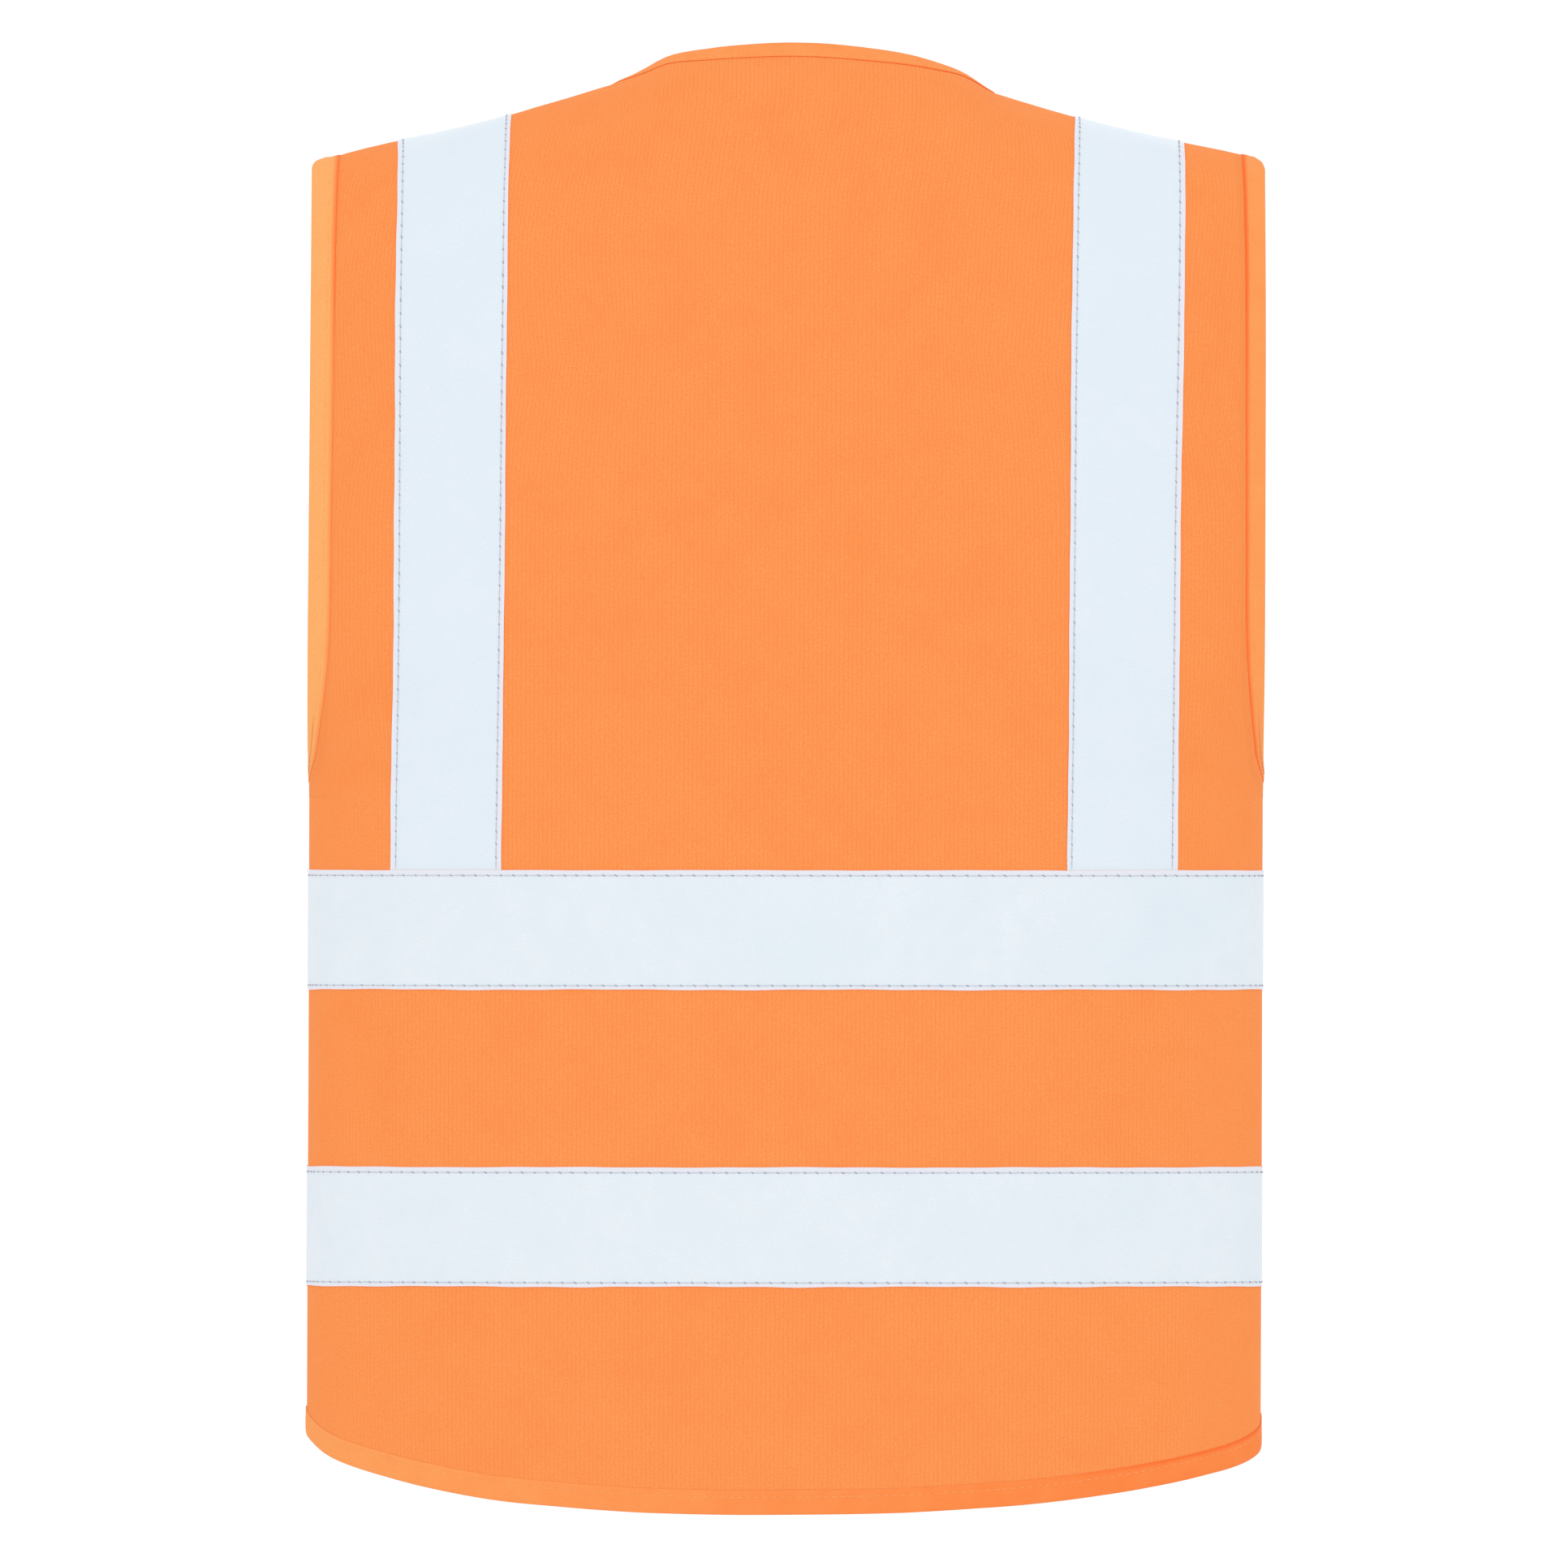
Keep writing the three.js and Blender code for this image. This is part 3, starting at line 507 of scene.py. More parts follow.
class Thread:
    """Many stitches gathered into one mesh: long floats and the short slanted ticks between them."""

    def __init__(self):
        self.parts = {"line": ([], []), "tick": ([], [])}
        self.seed = np.random.default_rng(7)

    def tube(self, kind, start, end, up, radius, lift, rings=4, sides=6):
        verts, faces = self.parts[kind]
        along = end - start
        long = np.linalg.norm(along)
        along = along / long
        across = np.cross(along, up)
        across = across / np.linalg.norm(across)
        base = len(verts)
        for r in range(rings):
            t = r / (rings - 1)
            bulge = math.sin(math.pi * min(max(t, 0.04), 0.96))
            centre = start + along * long * t + up * (lift * bulge - radius * 0.7 * (1 - bulge))
            size = radius * (0.45 + 0.55 * bulge)
            for k in range(sides):
                a = 2 * math.pi * k / sides
                verts.append(centre + size * (math.cos(a) * across + math.sin(a) * up))
        for r in range(rings - 1):
            for k in range(sides):
                q = (k + 1) % sides
                ring, after = base + r * sides, base + (r + 1) * sides
                faces.append((ring + k, ring + q, after + q, after + k))
        faces.append(tuple(base + k for k in range(sides - 1, -1, -1)))
        faces.append(tuple(base + (rings - 1) * sides + k for k in range(sides)))

    def run(self, sheet, us, vs, height, pitch=TAPE_PITCH, radius=0.2, ticks=True, slant=0.5):
        p, n, _ = sheet.sample(us, vs)
        p = p + n * np.reshape(height, (-1, 1))
        s = run_lengths(p)
        count = max(1, int(s[-1] / pitch))
        step = s[-1] / count

        def at(a, x):
            return np.array([np.interp(x, s, a[:, k]) for k in range(3)])

        for k in range(count):
            shift = self.seed.uniform(-STITCH_JITTER, STITCH_JITTER)
            a, b = k * step + STITCH_GAP / 2 + shift, (k + 1) * step - STITCH_GAP / 2 + shift
            a, b = max(a, 0.05), min(b, s[-1] - 0.05)
            up = at(n, (a + b) / 2)
            up = up / np.linalg.norm(up)
            self.tube("line", at(p, a), at(p, b), up, radius, radius * 0.8)
            if ticks and k:
                centre = at(p, k * step + shift)
                along = at(p, min(k * step + 1 + shift, s[-1])) - centre
                along = along / max(np.linalg.norm(along), 1e-6)
                across = np.cross(up, along)
                half = along * math.cos(slant) + across * math.sin(slant)
                half = half * (TICK_HALF + self.seed.uniform(-0.12, 0.12))
                self.tube("tick", centre - half, centre + half, up, radius * 1.25, radius * 1.1)

    def finish(self, name, line, tick):
        made = []
        for kind, material in (("line", line), ("tick", tick)):
            verts, faces = self.parts[kind]
            if verts:
                uv = np.array(verts)[:, [0, 2]]
                made.append(make_object(f"{name}_{kind}", verts, faces, uv, material,
                                        smooth_angle=80, fix=False))
        return made


# ---------------------------------------------------------------- materials
class Nodes:
    """Short ways to add the few node kinds that the fabrics share."""

    def __init__(self, name):
        self.material = bpy.data.materials.new(name)
        self.material.use_nodes = True
        self.nodes, self.links = self.material.node_tree.nodes, self.material.node_tree.links
        self.shader = self.nodes["Principled BSDF"]

    def put(self, value, socket):
        if hasattr(value, "links"):
            self.links.new(value, socket)
        else:
            socket.default_value = value

    def math(self, operation, a, b=None, c=None):
        node = self.nodes.new("ShaderNodeMath")
        node.operation = operation
        for value, socket in zip((a, b, c), node.inputs):
            if value is not None:
                self.put(value, socket)
        return node.outputs[0]

    def wave(self, value, pitch):
        return self.math("SINE", self.math("MULTIPLY", value, 2 * math.pi / pitch))

    def lengths(self):
        uv = self.nodes.new("ShaderNodeUVMap")
        uv.uv_map = "lengths"
        split = self.nodes.new("ShaderNodeSeparateXYZ")
        self.links.new(uv.outputs[0], split.inputs[0])
        return uv.outputs[0], split.outputs[0], split.outputs[1]

    def noise(self, vector, scale, detail=2.0, roughness=0.5):
        node = self.nodes.new("ShaderNodeTexNoise")
        self.links.new(vector, node.inputs["Vector"])
        node.inputs["Scale"].default_value = scale
        node.inputs["Detail"].default_value = detail
        node.inputs["Roughness"].default_value = roughness
        return node.outputs[0]

    def ramp(self, value, low, high, out_low=0.0, out_high=1.0):
        node = self.nodes.new("ShaderNodeMapRange")
        for socket, v in zip(node.inputs, (value, low, high, out_low, out_high)):
            self.put(v, socket)
        return node.outputs[0]

    def mix(self, share, a, b, blend="MIX"):
        node = self.nodes.new("ShaderNodeMix")
        node.data_type = "RGBA"
        node.blend_type = blend
        self.put(share, node.inputs[0])
        self.put(a, node.inputs[6])
        self.put(b, node.inputs[7])
        return node.outputs[2]

    def attribute(self, name):
        node = self.nodes.new("ShaderNodeAttribute")
        node.attribute_name = name
        return node.outputs["Fac"]

    def bump(self, height, strength, distance):
        node = self.nodes.new("ShaderNodeBump")
        node.inputs["Strength"].default_value = strength
        node.inputs["Distance"].default_value = distance
        self.links.new(height, node.inputs["Height"])
        self.links.new(node.outputs[0], self.shader.inputs["Normal"])

    def surface(self, colour, roughness, sheen=0.0, specular=0.3, tint=(1, 1, 1, 1)):
        self.put(colour, self.shader.inputs["Base Color"])
        self.put(roughness, self.shader.inputs["Roughness"])
        self.shader.inputs["Sheen Weight"].default_value = sheen
        self.shader.inputs["Sheen Roughness"].default_value = 0.45
        self.shader.inputs["Specular IOR Level"].default_value = specular
        self.shader.inputs["Sheen Tint"].default_value = tint
        self.shader.inputs["Specular Tint"].default_value = tint
        return self.material


GAIN, KNIT_GAIN, TWILL_GAIN = 0.92, 0.93, 0.93
WARM = (1.0, 0.45, 0.16, 1.0)
# Pitches of the weaves and of the threads' twist, in metres.
WALE, COURSE, TWILL_PITCH, PLY_PITCH, WEFT, WARP = 0.001853, 0.0011, 0.0009, 0.0006, 0.0004, 0.0005


def rgb(r, g, b, gain=1.0):
    """Linear colour of an sRGB one, 0 to 255."""
    c = [v / 255 for v in (r, g, b)]
    c = [v / 12.92 if v <= 0.04045 else ((v + 0.055) / 1.055) ** 2.4 for v in c]
    return [min(v * gain, 1) for v in c] + [1.0]


def knit_rgb(green):
    """An orange of the knit, from deep to pale."""
    return rgb(252.5, green, green * 1.05 - 74, KNIT_GAIN)


def knit():
    m = Nodes("orange_knit_fabric")
    vector, across, up = m.lengths()
    # Each wale is a column of small V-shaped loops: two legs, with their courses leaning apart.
    wobble = m.noise(vector, 260, 2)
    side = m.math("MULTIPLY_ADD", wobble, 0.0003, across)
    rib = m.math("ABSOLUTE", m.wave(side, 2 * WALE))
    leg = m.math("ABSOLUTE", m.wave(side, WALE))
    lean = m.math("MULTIPLY_ADD", leg, 0.5 * math.pi, m.math("MULTIPLY", up, 2 * math.pi / COURSE))
    loop = m.math("MULTIPLY_ADD", m.math("SINE", lean), 0.5, 0.5)
    legs = m.math("MULTIPLY", m.math("POWER", leg, 0.6), 0.5)
    ridge = m.math("MULTIPLY_ADD", m.math("POWER", rib, 0.6), 0.5, legs)
    height = m.math("MULTIPLY_ADD", loop, 0.35, ridge)
    cloudy = m.noise(vector, 55, 3, 0.55)
    broad = m.noise(vector, 14, 2)
    long_vector = m.nodes.new("ShaderNodeMapping")
    long_vector.inputs["Scale"].default_value = (1.0, 0.22, 1.0)
    m.links.new(vector, long_vector.inputs[0])
    ribs = m.noise(long_vector.outputs[0], 620, 2, 0.6)
    fine = m.noise(vector, 1250, 2, 0.7)
    base = m.mix(m.ramp(cloudy, 0.32, 0.68), knit_rgb(151), knit_rgb(157))
    base = m.mix(m.ramp(broad, 0.35, 0.65, 0, 0.5), base, knit_rgb(160))
    base = m.mix(m.ramp(ribs, 0.42, 0.7, 0.0, 0.4), base, knit_rgb(165))
    # Painted shade: the grooves between the wales are darkened.
    base = m.mix(m.ramp(ridge, 0.1, 0.8, 0.8, 0.0), base, knit_rgb(134))
    base = m.mix(m.ramp(fine, 0.4, 0.66, 0.0, 0.85), base, knit_rgb(138))
    m.bump(height, 0.35, 0.00022)
    return m.surface(base, m.ramp(fine, 0.2, 0.8, 0.82, 0.96), sheen=0.1, specular=0.08, tint=WARM)


def twill():
    m = Nodes("orange_bias_binding")
    vector, along, over = m.lengths()
    weave = m.wave(m.math("ADD", along, over), TWILL_PITCH)
    cross = m.wave(m.math("SUBTRACT", along, over), TWILL_PITCH)
    height = m.math("MAXIMUM", weave, cross)
    cloudy = m.noise(vector, 90, 3)
    grain = m.noise(vector, 1300, 2)
    light = m.math("MULTIPLY_ADD", m.math("SUBTRACT", cloudy, 0.5), 0.35, m.attribute("light"))
    base = m.mix(light, rgb(254, 134, 68, TWILL_GAIN), rgb(254, 181, 110, TWILL_GAIN))
    base = m.mix(m.ramp(grain, 0.4, 0.7, 0.0, 0.3), base, rgb(254, 138, 72, TWILL_GAIN))
    # Painted shade: by its tone the strip turns deep red-orange along its edges, where they meet the panel.
    base = m.mix(m.ramp(m.attribute("tone"), 0.1, 1.0, 0.0, 0.75), base, rgb(255, 96, 34, TWILL_GAIN))
    m.bump(height, 0.25, 0.00012)
    return m.surface(base, m.ramp(cloudy, 0.2, 0.8, 0.78, 0.9), sheen=0.1, specular=0.1, tint=WARM)


def reflective():
    m = Nodes("reflective_tape")
    vector = m.lengths()[0]
    tint, rim = m.attribute("light"), m.attribute("tone")
    grain = m.noise(vector, 1500, 3, 0.8)
    cloudy = m.noise(vector, 30, 4, 0.6)
    patch = m.noise(vector, 9, 2)
    glint = m.nodes.new("ShaderNodeTexVoronoi")
    glint.inputs["Scale"].default_value = 520
    m.links.new(vector, glint.inputs["Vector"])
    dots = m.ramp(glint.outputs["Distance"], 0.10, 0.16, 1, 0)
    spark = m.math("MULTIPLY", dots, m.ramp(m.noise(vector, 230, 1), 0.53, 0.62))
    base = m.mix(m.ramp(cloudy, 0.3, 0.7), rgb(230, 239, 246, GAIN), rgb(237, 244, 250, GAIN))
    base = m.mix(m.ramp(patch, 0.55, 0.75, 0, 0.5), base, rgb(221, 236, 245, GAIN))
    base = m.mix(m.ramp(m.noise(vector, 110, 3, 0.6), 0.45, 0.75, 0, 0.45), base,
                 rgb(222, 236, 246, GAIN))
    base = m.mix(m.ramp(tint, 0, 1, 0, 0.3), base, rgb(224, 238, 252, GAIN))
    base = m.mix(m.ramp(grain, 0.38, 0.62, 0, 0.5), base, rgb(218, 228, 237, GAIN))
    # Painted glints: the beads' sparkle is mixed into the colour as near-white dots.
    base = m.mix(m.math("MULTIPLY", spark, 0.4), base, rgb(252, 254, 255, 1.0))
    base = m.mix(m.ramp(rim, 0.5, 1.0), base, rgb(232, 234, 243, GAIN))
    base = m.mix(m.ramp(rim, 1.2, 2.0, 0, 0.75), base, rgb(250, 208, 206, GAIN))
    m.bump(m.math("ADD", grain, m.math("MULTIPLY", spark, 0.6)), 0.2, 0.00008)
    return m.surface(base, m.ramp(grain, 0.3, 0.7, 0.42, 0.62), specular=0.45)


def thread_material(name, colour, other):
    m = Nodes(name)
    vector, along, over = m.lengths()
    ply = m.wave(m.math("ADD", along, over), PLY_PITCH)
    base = m.mix(m.ramp(ply, -1, 1), colour, other)
    m.bump(ply, 0.3, 0.00005)
    return m.surface(base, m.ramp(m.noise(vector, 900), 0.3, 0.7, 0.55, 0.75), sheen=0.1)


def pile(name, colour, other, scale):
    m = Nodes(name)
    vector = m.lengths()[0]
    tuft = m.noise(vector, scale, 4, 0.75)
    dots = m.nodes.new("ShaderNodeTexVoronoi")
    dots.inputs["Scale"].default_value = scale * 0.9
    m.links.new(vector, dots.inputs["Vector"])
    height = m.math("SUBTRACT", tuft, dots.outputs["Distance"])
    m.bump(height, 0.9, 0.0006)
    base = m.mix(m.ramp(tuft, 0.3, 0.7), colour, other)
    return m.surface(base, m.ramp(tuft, 0.2, 0.8, 0.85, 1.0), sheen=0.4)


def woven_label():
    m = Nodes("woven_label_cloth")
    vector, across, up = m.lengths()
    weft = m.wave(up, WEFT)
    warp = m.wave(across, WARP)
    pale, dull = rgb(246, 245, 240, GAIN), rgb(236, 235, 230, GAIN)
    base = m.mix(m.ramp(m.noise(vector, 120), 0.3, 0.7), pale, dull)
    m.bump(m.math("MULTIPLY", weft, warp), 0.4, 0.0001)
    return m.surface(base, m.ramp(m.noise(vector, 400), 0.3, 0.7, 0.5, 0.65), sheen=0.1)


KNIT, TWILL, TAPE = knit(), twill(), reflective()
GREY = thread_material("thread_grey", rgb(216, 221, 230, GAIN), rgb(200, 207, 219, GAIN))
# The ticks where the thread dips into the tape are a darker grey: painted shade of the needle holes.
DIP_SHADE = thread_material("thread_grey_dip_painted_shade", rgb(176, 182, 198, GAIN), rgb(156, 162, 182, GAIN))
AMBER = thread_material("thread_amber", rgb(255, 186, 118, GAIN), rgb(255, 170, 100, GAIN))
HOOK = pile("hook_tape_cloth", rgb(232, 122, 62, GAIN), rgb(250, 150, 88, GAIN), 900)
LOOP = pile("loop_tape_cloth", rgb(242, 136, 74, GAIN), rgb(255, 164, 104, GAIN), 500)
LABEL = woven_label()

# ---------------------------------------------------------------- pieces
BACK, LEFT, RIGHT = Sheet(0), Sheet(-1), Sheet(1)
OUTER_FACE, TAPE_LOW, TAPE_HIGH = (0.25, 0.75), 0.77, 1.06
STITCH_IN, STITCH_LOW = 2.3, 1.7
BAND_TOP_ROW, BRACE_TUCK, THREAD_HIGH = 5.0, 0.45, TAPE_HIGH - 0.08
BAND_LENGTHS_ROW, TAPE_STEP, TUCKED_ROWS = 3.5, 2.7, (4.94, 4.985)
SINK_DEPTH, SINK_REACH = 0.32, 1.6
SEAM_ALLOWANCE, SEAM_LIP = (-0.9, 0.2), 4.0
# Each back brace's shift towards +X and its narrowing, in millimetres, at its two ends.
BRACE_LEAN = {-1: ((0.45, 2.1), (1.2, -0.1)), 1: ((-1.8, 0.1), (0.8, 0.55))}
BRACE_LOW_Z, BRACE_SPAN, FRONT_LEAN_Z, FRONT_LEAN_SPAN = 277.0, 280.0, 390.0, 180.0


def armhole_reach(side, narrow):
    """The armhole strips lie narrower over the underarm, more so on one side."""
    def reach(p):
        taper = np.exp(-(((p[:, 2] - UNDERARM) / 32) ** 2))
        return narrow - (0.42 if side < 0 else 0.3) * taper
    return reach


# How strong the painted shade is along each binding's edge, by where it lies.
def armhole_shade_line(side):
    return lambda p: (0.7 if side < 0 else 1.1) + 0.5 * smooth((p[:, 2] - 470) / 60)


def neck_shade_line(p):
    return 0.08 + 0.35 * smooth((p[:, 0] - 5) / 50)


def hem_light(p):
    return np.interp(p[:, 0], [-198, -120, 0, 150, 198], [0.6, 0.46, 0.25, 0.04, 0.1])


def hem_shade_line(p):
    return 0.12 + 0.8 * smooth((p[:, 0] - 90) / 90)


ARMHOLE = {
    -1: {"reach": armhole_reach(-1, 0.9), "light": 1.0, "line": armhole_shade_line(-1), "stitch": 3.7},
    1: {"reach": armhole_reach(1, 0.76), "light": 0.53, "line": armhole_shade_line(1), "stitch": 3.2},
}


def fine_between(values, lo, hi):
    """The sheet's own columns or rows between two values, with both values."""
    inside = values[(values > lo + 1e-6) & (values < hi - 1e-6)]
    return np.concatenate([[lo], inside, [hi]])


def seam_sink(sheet):
    """How far the cloth dips into the side and shoulder seams."""
    # Rough distances from the seams: a column there is 12 mm wide and a row 28 mm high.
    side = np.abs(np.abs(sheet.us) - sheet.pin)[:, None] * 12 + 30 * (sheet.vs > ROW_UNDERARM)
    top = np.abs(sheet.vs - ROW_TOP)[None, :] * 28 + 0 * side
    return SINK_DEPTH * np.exp(-((np.minimum(side, top) / SINK_REACH) ** 2))


def panel(name, sheet):
    low, high = OUTER_FACE
    high = high - seam_sink(sheet)
    return closed_layer(name, sheet, sheet.us, sheet.vs, low, high, KNIT, cells=sheet.cells)


def tape(name, sheet, us, vs, is_brace, phase):
    """A strip of tape: a band, whose width runs along v, or a brace, whose width runs along u.
    The rim outside the stitches stands a little up, and each stitch pulls the tape in."""
    ends, long = (us, vs) if is_brace else (vs, us)
    first_in = STITCH_IN if is_brace else STITCH_LOW
    share = np.array([0, 0.3, 1.0, first_in, 3.6, 6, 10, 17, 25, 33, 40, 44, 46.4,
                      TAPE_WIDTH - STITCH_IN, 48.9, 49.7, TAPE_WIDTH]) / TAPE_WIDTH
    shape = (len(share), len(long)) if is_brace else (len(long), len(share))

    def by_width(a):
        return np.broadcast_to(a[:, None] if is_brace else a[None, :], shape)

    def by_length(a):
        return np.broadcast_to(a[None, :] if is_brace else a[:, None], shape)

    rim = np.minimum(share, 1 - share) * TAPE_WIDTH
    inset = np.where(share < 0.5, first_in, STITCH_IN)
    profile = 0.1 * np.exp(-(rim**2)) - 0.17 * np.exp(-(((rim - inset) / 0.9) ** 2))
    tone = np.where(rim < 0.1, 2.0, np.where(rim < inset, 1.0, 0.0))
    lines = lerp(ends[0], ends[1], share)
    k = np.arange(len(long))
    wave = (0.12 * np.sin(k * 0.17 + phase) + 0.08 * np.sin(k * 0.57 + 2 * phase)) / TAPE_WIDTH
    pull = by_length(0.06 * np.cos(k * math.pi)) * by_width(np.exp(-(((rim - inset) / 1.2) ** 2)))
    edges = np.where(share < 0.5, 1.0, -0.7) * np.exp(-((rim / 6) ** 2))
    slip = by_length(wave) * by_width(edges) * (ends[1] - ends[0])
    tuck = 0.0
    if is_brace:
        shift, wide = lean_columns(sheet, lines.mean(), long)
        u = by_width(lines) + slip + by_length(shift) + by_length(wide) * by_width(share - 0.5)
        v = by_length(long)
        # The end of a brace goes under the band that it meets.
        tuck = BRACE_TUCK * (v < BAND_TOP_ROW - 1e-6)
    else:
        u, v = by_length(long), by_width(lines) + slip
    high = TAPE_HIGH + by_width(profile) + pull - tuck
    made = skin_layer(name, *sheet.sample(u, v), TAPE_LOW - tuck, high, TAPE, by_width(tone))
    set_values(made.data, "light", np.full(len(made.data.vertices), float(is_brace)))
    return made


def lean_columns(sheet, u, vs):
    """How far along the sheet's columns a brace shifts at each row, and how much it widens.
    The back braces are sewn a trace off plumb, and the front ones meet them at the shoulder."""
    z = sheet.sample(np.full_like(vs, u), vs)[0][:, 2]
    t = np.clip((z - BRACE_LOW_Z) / BRACE_SPAN, 0, 1)
    shift, narrowing = (lerp(*ends, t) for ends in BRACE_LEAN[sheet.side or (1 if u > 0 else -1)])
    wide = -narrowing
    if sheet.side:
        shift, wide = shift * smooth((z - FRONT_LEAN_Z) / FRONT_LEAN_SPAN), wide * 0
    column = (BRACE_OUT - BRACE_IN) / 2
    return (shift if sheet.side >= 0 else -shift) / column, wide / column


def evenly(values, p, step):
    """Of a fine run of values and their points, the values spaced evenly by length."""
    s = run_lengths(p)
    return np.interp(np.linspace(0, s[-1], max(2, int(s[-1] / step))), s, values)


def along_u(sheet, lo, hi):
    fine = np.linspace(lo, hi, 600)
    return evenly(fine, sheet.sample(fine, BAND_LENGTHS_ROW)[0], TAPE_STEP)


def along_v(sheet, u, lo, hi):
    fine = np.linspace(lo, hi, 800)
    return evenly(fine, sheet.sample(np.full_like(fine, u), fine)[0], TAPE_STEP)


GROUPS = {"back": [], "left_front": [], "right_front": []}


def add(group, obj, nodes):
    nodes = [nodes] if isinstance(nodes, str) else nodes
    if nodes:
        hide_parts(*nodes)
    GROUPS[group].append(obj)
    return obj


def stitch_pair(thread, sheet, long, is_brace, lo, hi):
    """The two stitch lines of a band between two rows, or of a brace between two columns."""
    first_in = (hi - lo) * (STITCH_IN if is_brace else STITCH_LOW) / TAPE_WIDTH
    inset = (hi - lo) * STITCH_IN / TAPE_WIDTH
    if is_brace:
        shift, wide = lean_columns(sheet, (lo + hi) / 2, long)
        lo, hi = lo + shift - wide / 2, hi + shift + wide / 2
    for line in (lo + first_in, hi - inset):
        if is_brace:
            thread.run(sheet, line + 0 * long, long, THREAD_HIGH, slant=0.45)
        else:
            thread.run(sheet, long, np.full_like(long, line), THREAD_HIGH, slant=-0.5)


def build(group, sheet):
    """Every cloth piece of one panel: the panel itself, its tapes, bindings and stitching."""
    is_back, face = group == "back", group.split("_")[-1]
    pin, brace = sheet.pin, BACK_BRACE if is_back else FRONT_BRACE
    cloth = add(group, panel(f"cloth_{group}_panel", sheet), f"{group}_panel")
    tape_thread, edge_thread = Thread(), Thread()
    first = -pin if is_back else 1.0

    def bind(node, pins, edges, **looks):
        made = binding("bound_" + node, sheet, pins, edges, TWILL, edge_thread, **looks)
        add(group, made, node)

    for level, row in (("lower", 2.0), ("upper", 4.0)):
        us, node = along_u(sheet, first, pin), f"{group}_waist_tape_{level}"
        made = tape(f"tape_{node}", sheet, us, (row, row + 1), False, row)
        add(group, made, node)
        stitch_pair(tape_thread, sheet, us, False, row, row + 1)
    for side in (-1, 1) if is_back else (1,):
        x_side = side if is_back else sheet.side
        owner = "left" if x_side < 0 else "right"
        lo, hi = sorted((side * brace, side * (brace + 2)))
        seen = along_v(sheet, side * (brace + 1), BAND_TOP_ROW, ROW_TOP)
        node = f"{owner}_brace_tape_{face}"
        made = tape(f"tape_{node}", sheet, (lo, hi), np.concatenate([TUCKED_ROWS, seen]), True, side + 3.0)
        add(group, made, node)
        stitch_pair(tape_thread, sheet, seen, True, lo, hi)
        rows = fine_between(sheet.vs, ROW_UNDERARM, ROW_TOP)
        bind(f"{owner}_armhole_binding_{face}", [(side * pin, r) for r in rows],
             [(side * (pin + 1), r) for r in rows], **ARMHOLE[x_side])
    columns = fine_between(sheet.us, first, pin)
    bind(f"{group}_hem_binding", [(c, 1) for c in columns], [(c, 0) for c in columns],
         light=hem_light, line=hem_shade_line if is_back else 0.3)
    if is_back:
        columns = fine_between(sheet.us, -NECK_STEPS, NECK_STEPS)
        bind("back_neck_binding", [(c, ROW_TOP) for c in columns], [(c, ROW_NECK) for c in columns],
             light=0.42, line=neck_shade_line, stitch=1.7)
    else:
        rows = fine_between(sheet.vs, 0, ROW_TOP)
        bind(f"{group}_edge_binding", [(1, r) for r in rows], [(0, r) for r in rows],
             line=0.35, stitch=1.7)
    for obj in tape_thread.finish(f"stitching_{group}_tape", GREY, DIP_SHADE):
        add(group, obj, [])
    for obj in edge_thread.finish(f"stitching_{group}_edge", AMBER, AMBER):
        add(group, obj, [])
    return cloth


SHEETS = {"back": BACK, "left_front": LEFT, "right_front": RIGHT}
CLOTHS = {group: build(group, sheet) for group, sheet in SHEETS.items()}

# Seam allowances inside, pressed towards the back. The side ones reach a little past the seam,
# under the front, so that no light shows through when the front swings open.
for side, owner in ((-1, "left"), (1, "right")):
    rows = fine_between(BACK.vs, 0.3, ROW_UNDERARM - 0.02)
    u, v = np.meshgrid(side * np.linspace(BACK_PIN - 0.5, BACK_PIN, 5), rows, indexing="ij")
    p, n, uv = BACK.sample(u, v)
    out = p[-1] - p[-2]
    lip = p[-1] + SEAM_LIP * out / np.linalg.norm(out, axis=-1, keepdims=True)
    p, n = np.concatenate([p, lip[None]]), np.concatenate([n, n[-1:]])
    uv = np.concatenate([uv, uv[-1:] + [SEAM_LIP * side, 0]])
    made = skin_layer(f"seam_{owner}_side", p, n, uv, *SEAM_ALLOWANCE, KNIT)
    add("back", made, f"{owner}_side_seam")
    lo, hi = sorted((side * (NECK_STEPS + 0.03), side * (BACK_PIN - 0.03)))
    columns, rows = fine_between(BACK.us, lo, hi), np.linspace(ROW_TOP - 0.5, ROW_TOP, 5)
    made = closed_layer(f"seam_{owner}_shoulder", BACK, columns, rows, *SEAM_ALLOWANCE, KNIT)
    add("back", made, f"{owner}_shoulder_seam")

# Hook-and-loop patches of the lapped front.
PATCH_COLUMNS = (1.12, 1.72)
PATCH_ROWS = {"lower": (1.15, 1.9), "middle": (3.12, 3.88), "upper": (8.1, 9.9)}
PATCH_WIDTH, PATCH_LENGTH, PATCH_RIM, PATCH_SWELL = 20, 50, 2.0, 0.5
PATCHES = (("left_front", "loop_patch", (-1.2, 0.2), LOOP), ("right_front", "hook_patch", (0.8, 2.2), HOOK))
for level, (lo, hi) in PATCH_ROWS.items():
    for group, kind, (low, high), material in PATCHES:
        us, vs = np.linspace(*PATCH_COLUMNS, 15), np.linspace(lo, hi, 29)
        s, t = np.meshgrid(np.linspace(0, 1, 15), np.linspace(0, 1, 29), indexing="ij")
        rim = np.minimum(np.minimum(s, 1 - s) * PATCH_WIDTH, np.minimum(t, 1 - t) * PATCH_LENGTH)
        swell = PATCH_SWELL * np.clip(1 - rim / PATCH_RIM, 0, 1)
        heights = (low + swell, high) if kind == "loop_patch" else (low, high - swell)
        made = closed_layer(f"pad_{kind}_{level}", SHEETS[group], us, vs, *heights, material)
        add(group, made, f"{kind}_{level}")

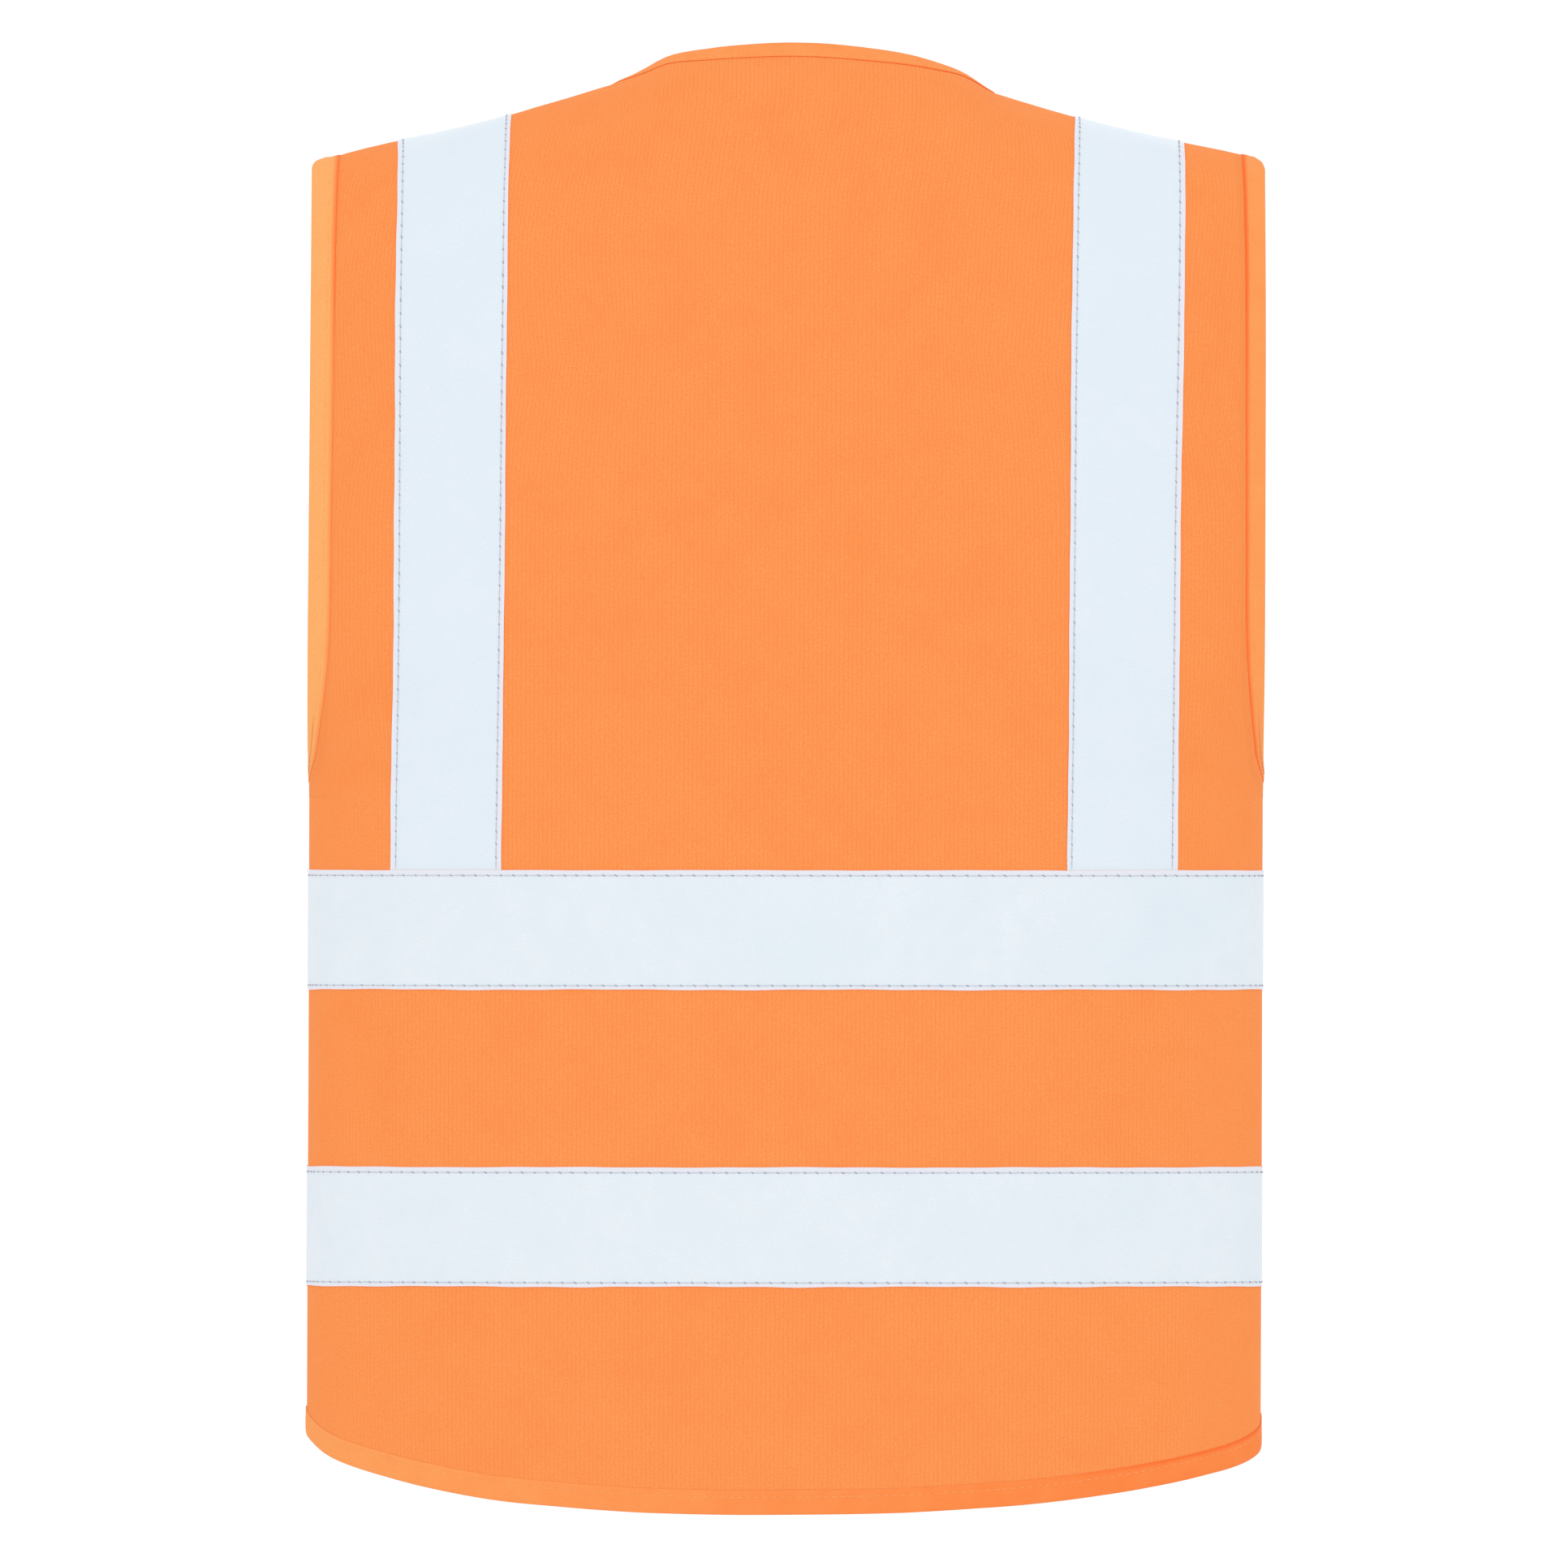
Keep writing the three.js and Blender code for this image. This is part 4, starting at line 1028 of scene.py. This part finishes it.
# Blank label folded over at the nape.
lo, hi = (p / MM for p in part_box("neck_label"))
LABEL_THICK = 0.45
s, t = np.meshgrid(np.linspace(0, 1, 23), np.linspace(0, 1, 19), indexing="ij")
bow = 1.1 * np.sin(math.pi * s) * (1 - t) + 0.5 * np.sin(5 * s + 3 * t) * (1 - t)
x, z = lerp(lo.x, hi.x, s), lerp(lo.z, hi.z, t)
p = np.stack([x, lo.y + 0.15 + bow, z], -1)
n = np.broadcast_to([0.0, -1.0, 0.0], p.shape)
uv = np.stack([x, z], -1)
label = skin_layer("label_cloth", p, n, uv, -LABEL_THICK, 0.0, LABEL, smooth_angle=50)
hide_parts("neck_label")
label_thread, label_stitches = Thread(), 16
for k in range(label_stitches):
    ends = []
    for s in ((k + 0.15) / label_stitches, (k + 0.85) / label_stitches):
        ends.append(np.array([lerp(lo.x + 1.5, hi.x - 1.5, s), lo.y + 0.66, hi.z - 1.6]))
    label_thread.tube("line", *ends, np.array([0.0, 1.0, 0.0]), 0.16, 0.12)
label_stitching = label_thread.finish("stitching_label", GREY, DIP_SHADE)

# ---------------------------------------------------------------- what moves with what
for obj in GROUPS["back"]:
    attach(obj, "back")
for obj in [label, *label_stitching]:
    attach(obj, "label")
for body in ("left_front", "right_front"):
    for obj in GROUPS[body]:
        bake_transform(obj)


# ---------------------------------------------------------------- studio
world = bpy.data.worlds.new("studio")
bpy.context.scene.world = world
world.use_nodes = True
WORLD_LIGHT, FLOOR_Z = 1.045, -0.45
background = world.node_tree.nodes["Background"]
background.inputs[0].default_value = (1, 1, 1, 1)
background.inputs[1].default_value = WORLD_LIGHT

floor_mesh = bpy.data.meshes.new("floor")
bm = bmesh.new()
bmesh.ops.create_circle(bm, cap_ends=True, radius=4.0, segments=96)
bm.to_mesh(floor_mesh)
bm.free()
floor = bpy.data.objects.new("floor", floor_mesh)
floor.location = (0, 0, FLOOR_Z)
bpy.context.scene.collection.objects.link(floor)
floor_nodes = Nodes("pale_floor")
position = floor_nodes.nodes.new("ShaderNodeTexCoord").outputs["Object"]
pale, dull = [0.94, 0.94, 0.94, 1], [0.92, 0.92, 0.92, 1]
floor_mesh.materials.append(
    floor_nodes.surface(floor_nodes.mix(floor_nodes.noise(position, 3), pale, dull), 0.9))


def area_light(name, location, size, power, target=(0, 0, 0.32)):
    data = bpy.data.lights.new(name, "AREA")
    data.shape, data.size, data.energy = "DISK", size, power
    light = bpy.data.objects.new(name, data)
    light.location = location
    light.rotation_euler = (Vector(target) - Vector(location)).to_track_quat("-Z", "Y").to_euler()
    bpy.context.scene.collection.objects.link(light)


area_light("key_behind", (-0.05, -3.2, 1.2), 2.4, 8)
area_light("key_front", (0.5, 3.0, 1.4), 2.4, 8)

bpy.context.scene.view_settings.view_transform = "Standard"
camera_data = bpy.data.cameras.new("camera")
camera_data.lens, camera_data.sensor_width = 1500, 36
MM_PER_PIXEL, FRAME_WIDTH, CLOSER = 0.34, 1932, 0.998
AIM_X, ROLL = -0.0007, 0.03
distance = CLOSER * FRAME_WIDTH * MM_PER_PIXEL * MM * camera_data.lens / camera_data.sensor_width
camera = bpy.data.objects.new("camera", camera_data)
aim = Vector((AIM_X, -BACK_DEPTH * MM, MIDDLE_Z * MM))
turn = Matrix.Rotation(math.radians(90), 4, "X") @ Matrix.Rotation(math.radians(ROLL), 4, "Z")
camera.matrix_world = Matrix.Translation(aim - Vector((0, distance, 0))) @ turn
camera_data.clip_start, camera_data.clip_end = 0.5, 60
bpy.context.scene.collection.objects.link(camera)
bpy.context.scene.camera = camera
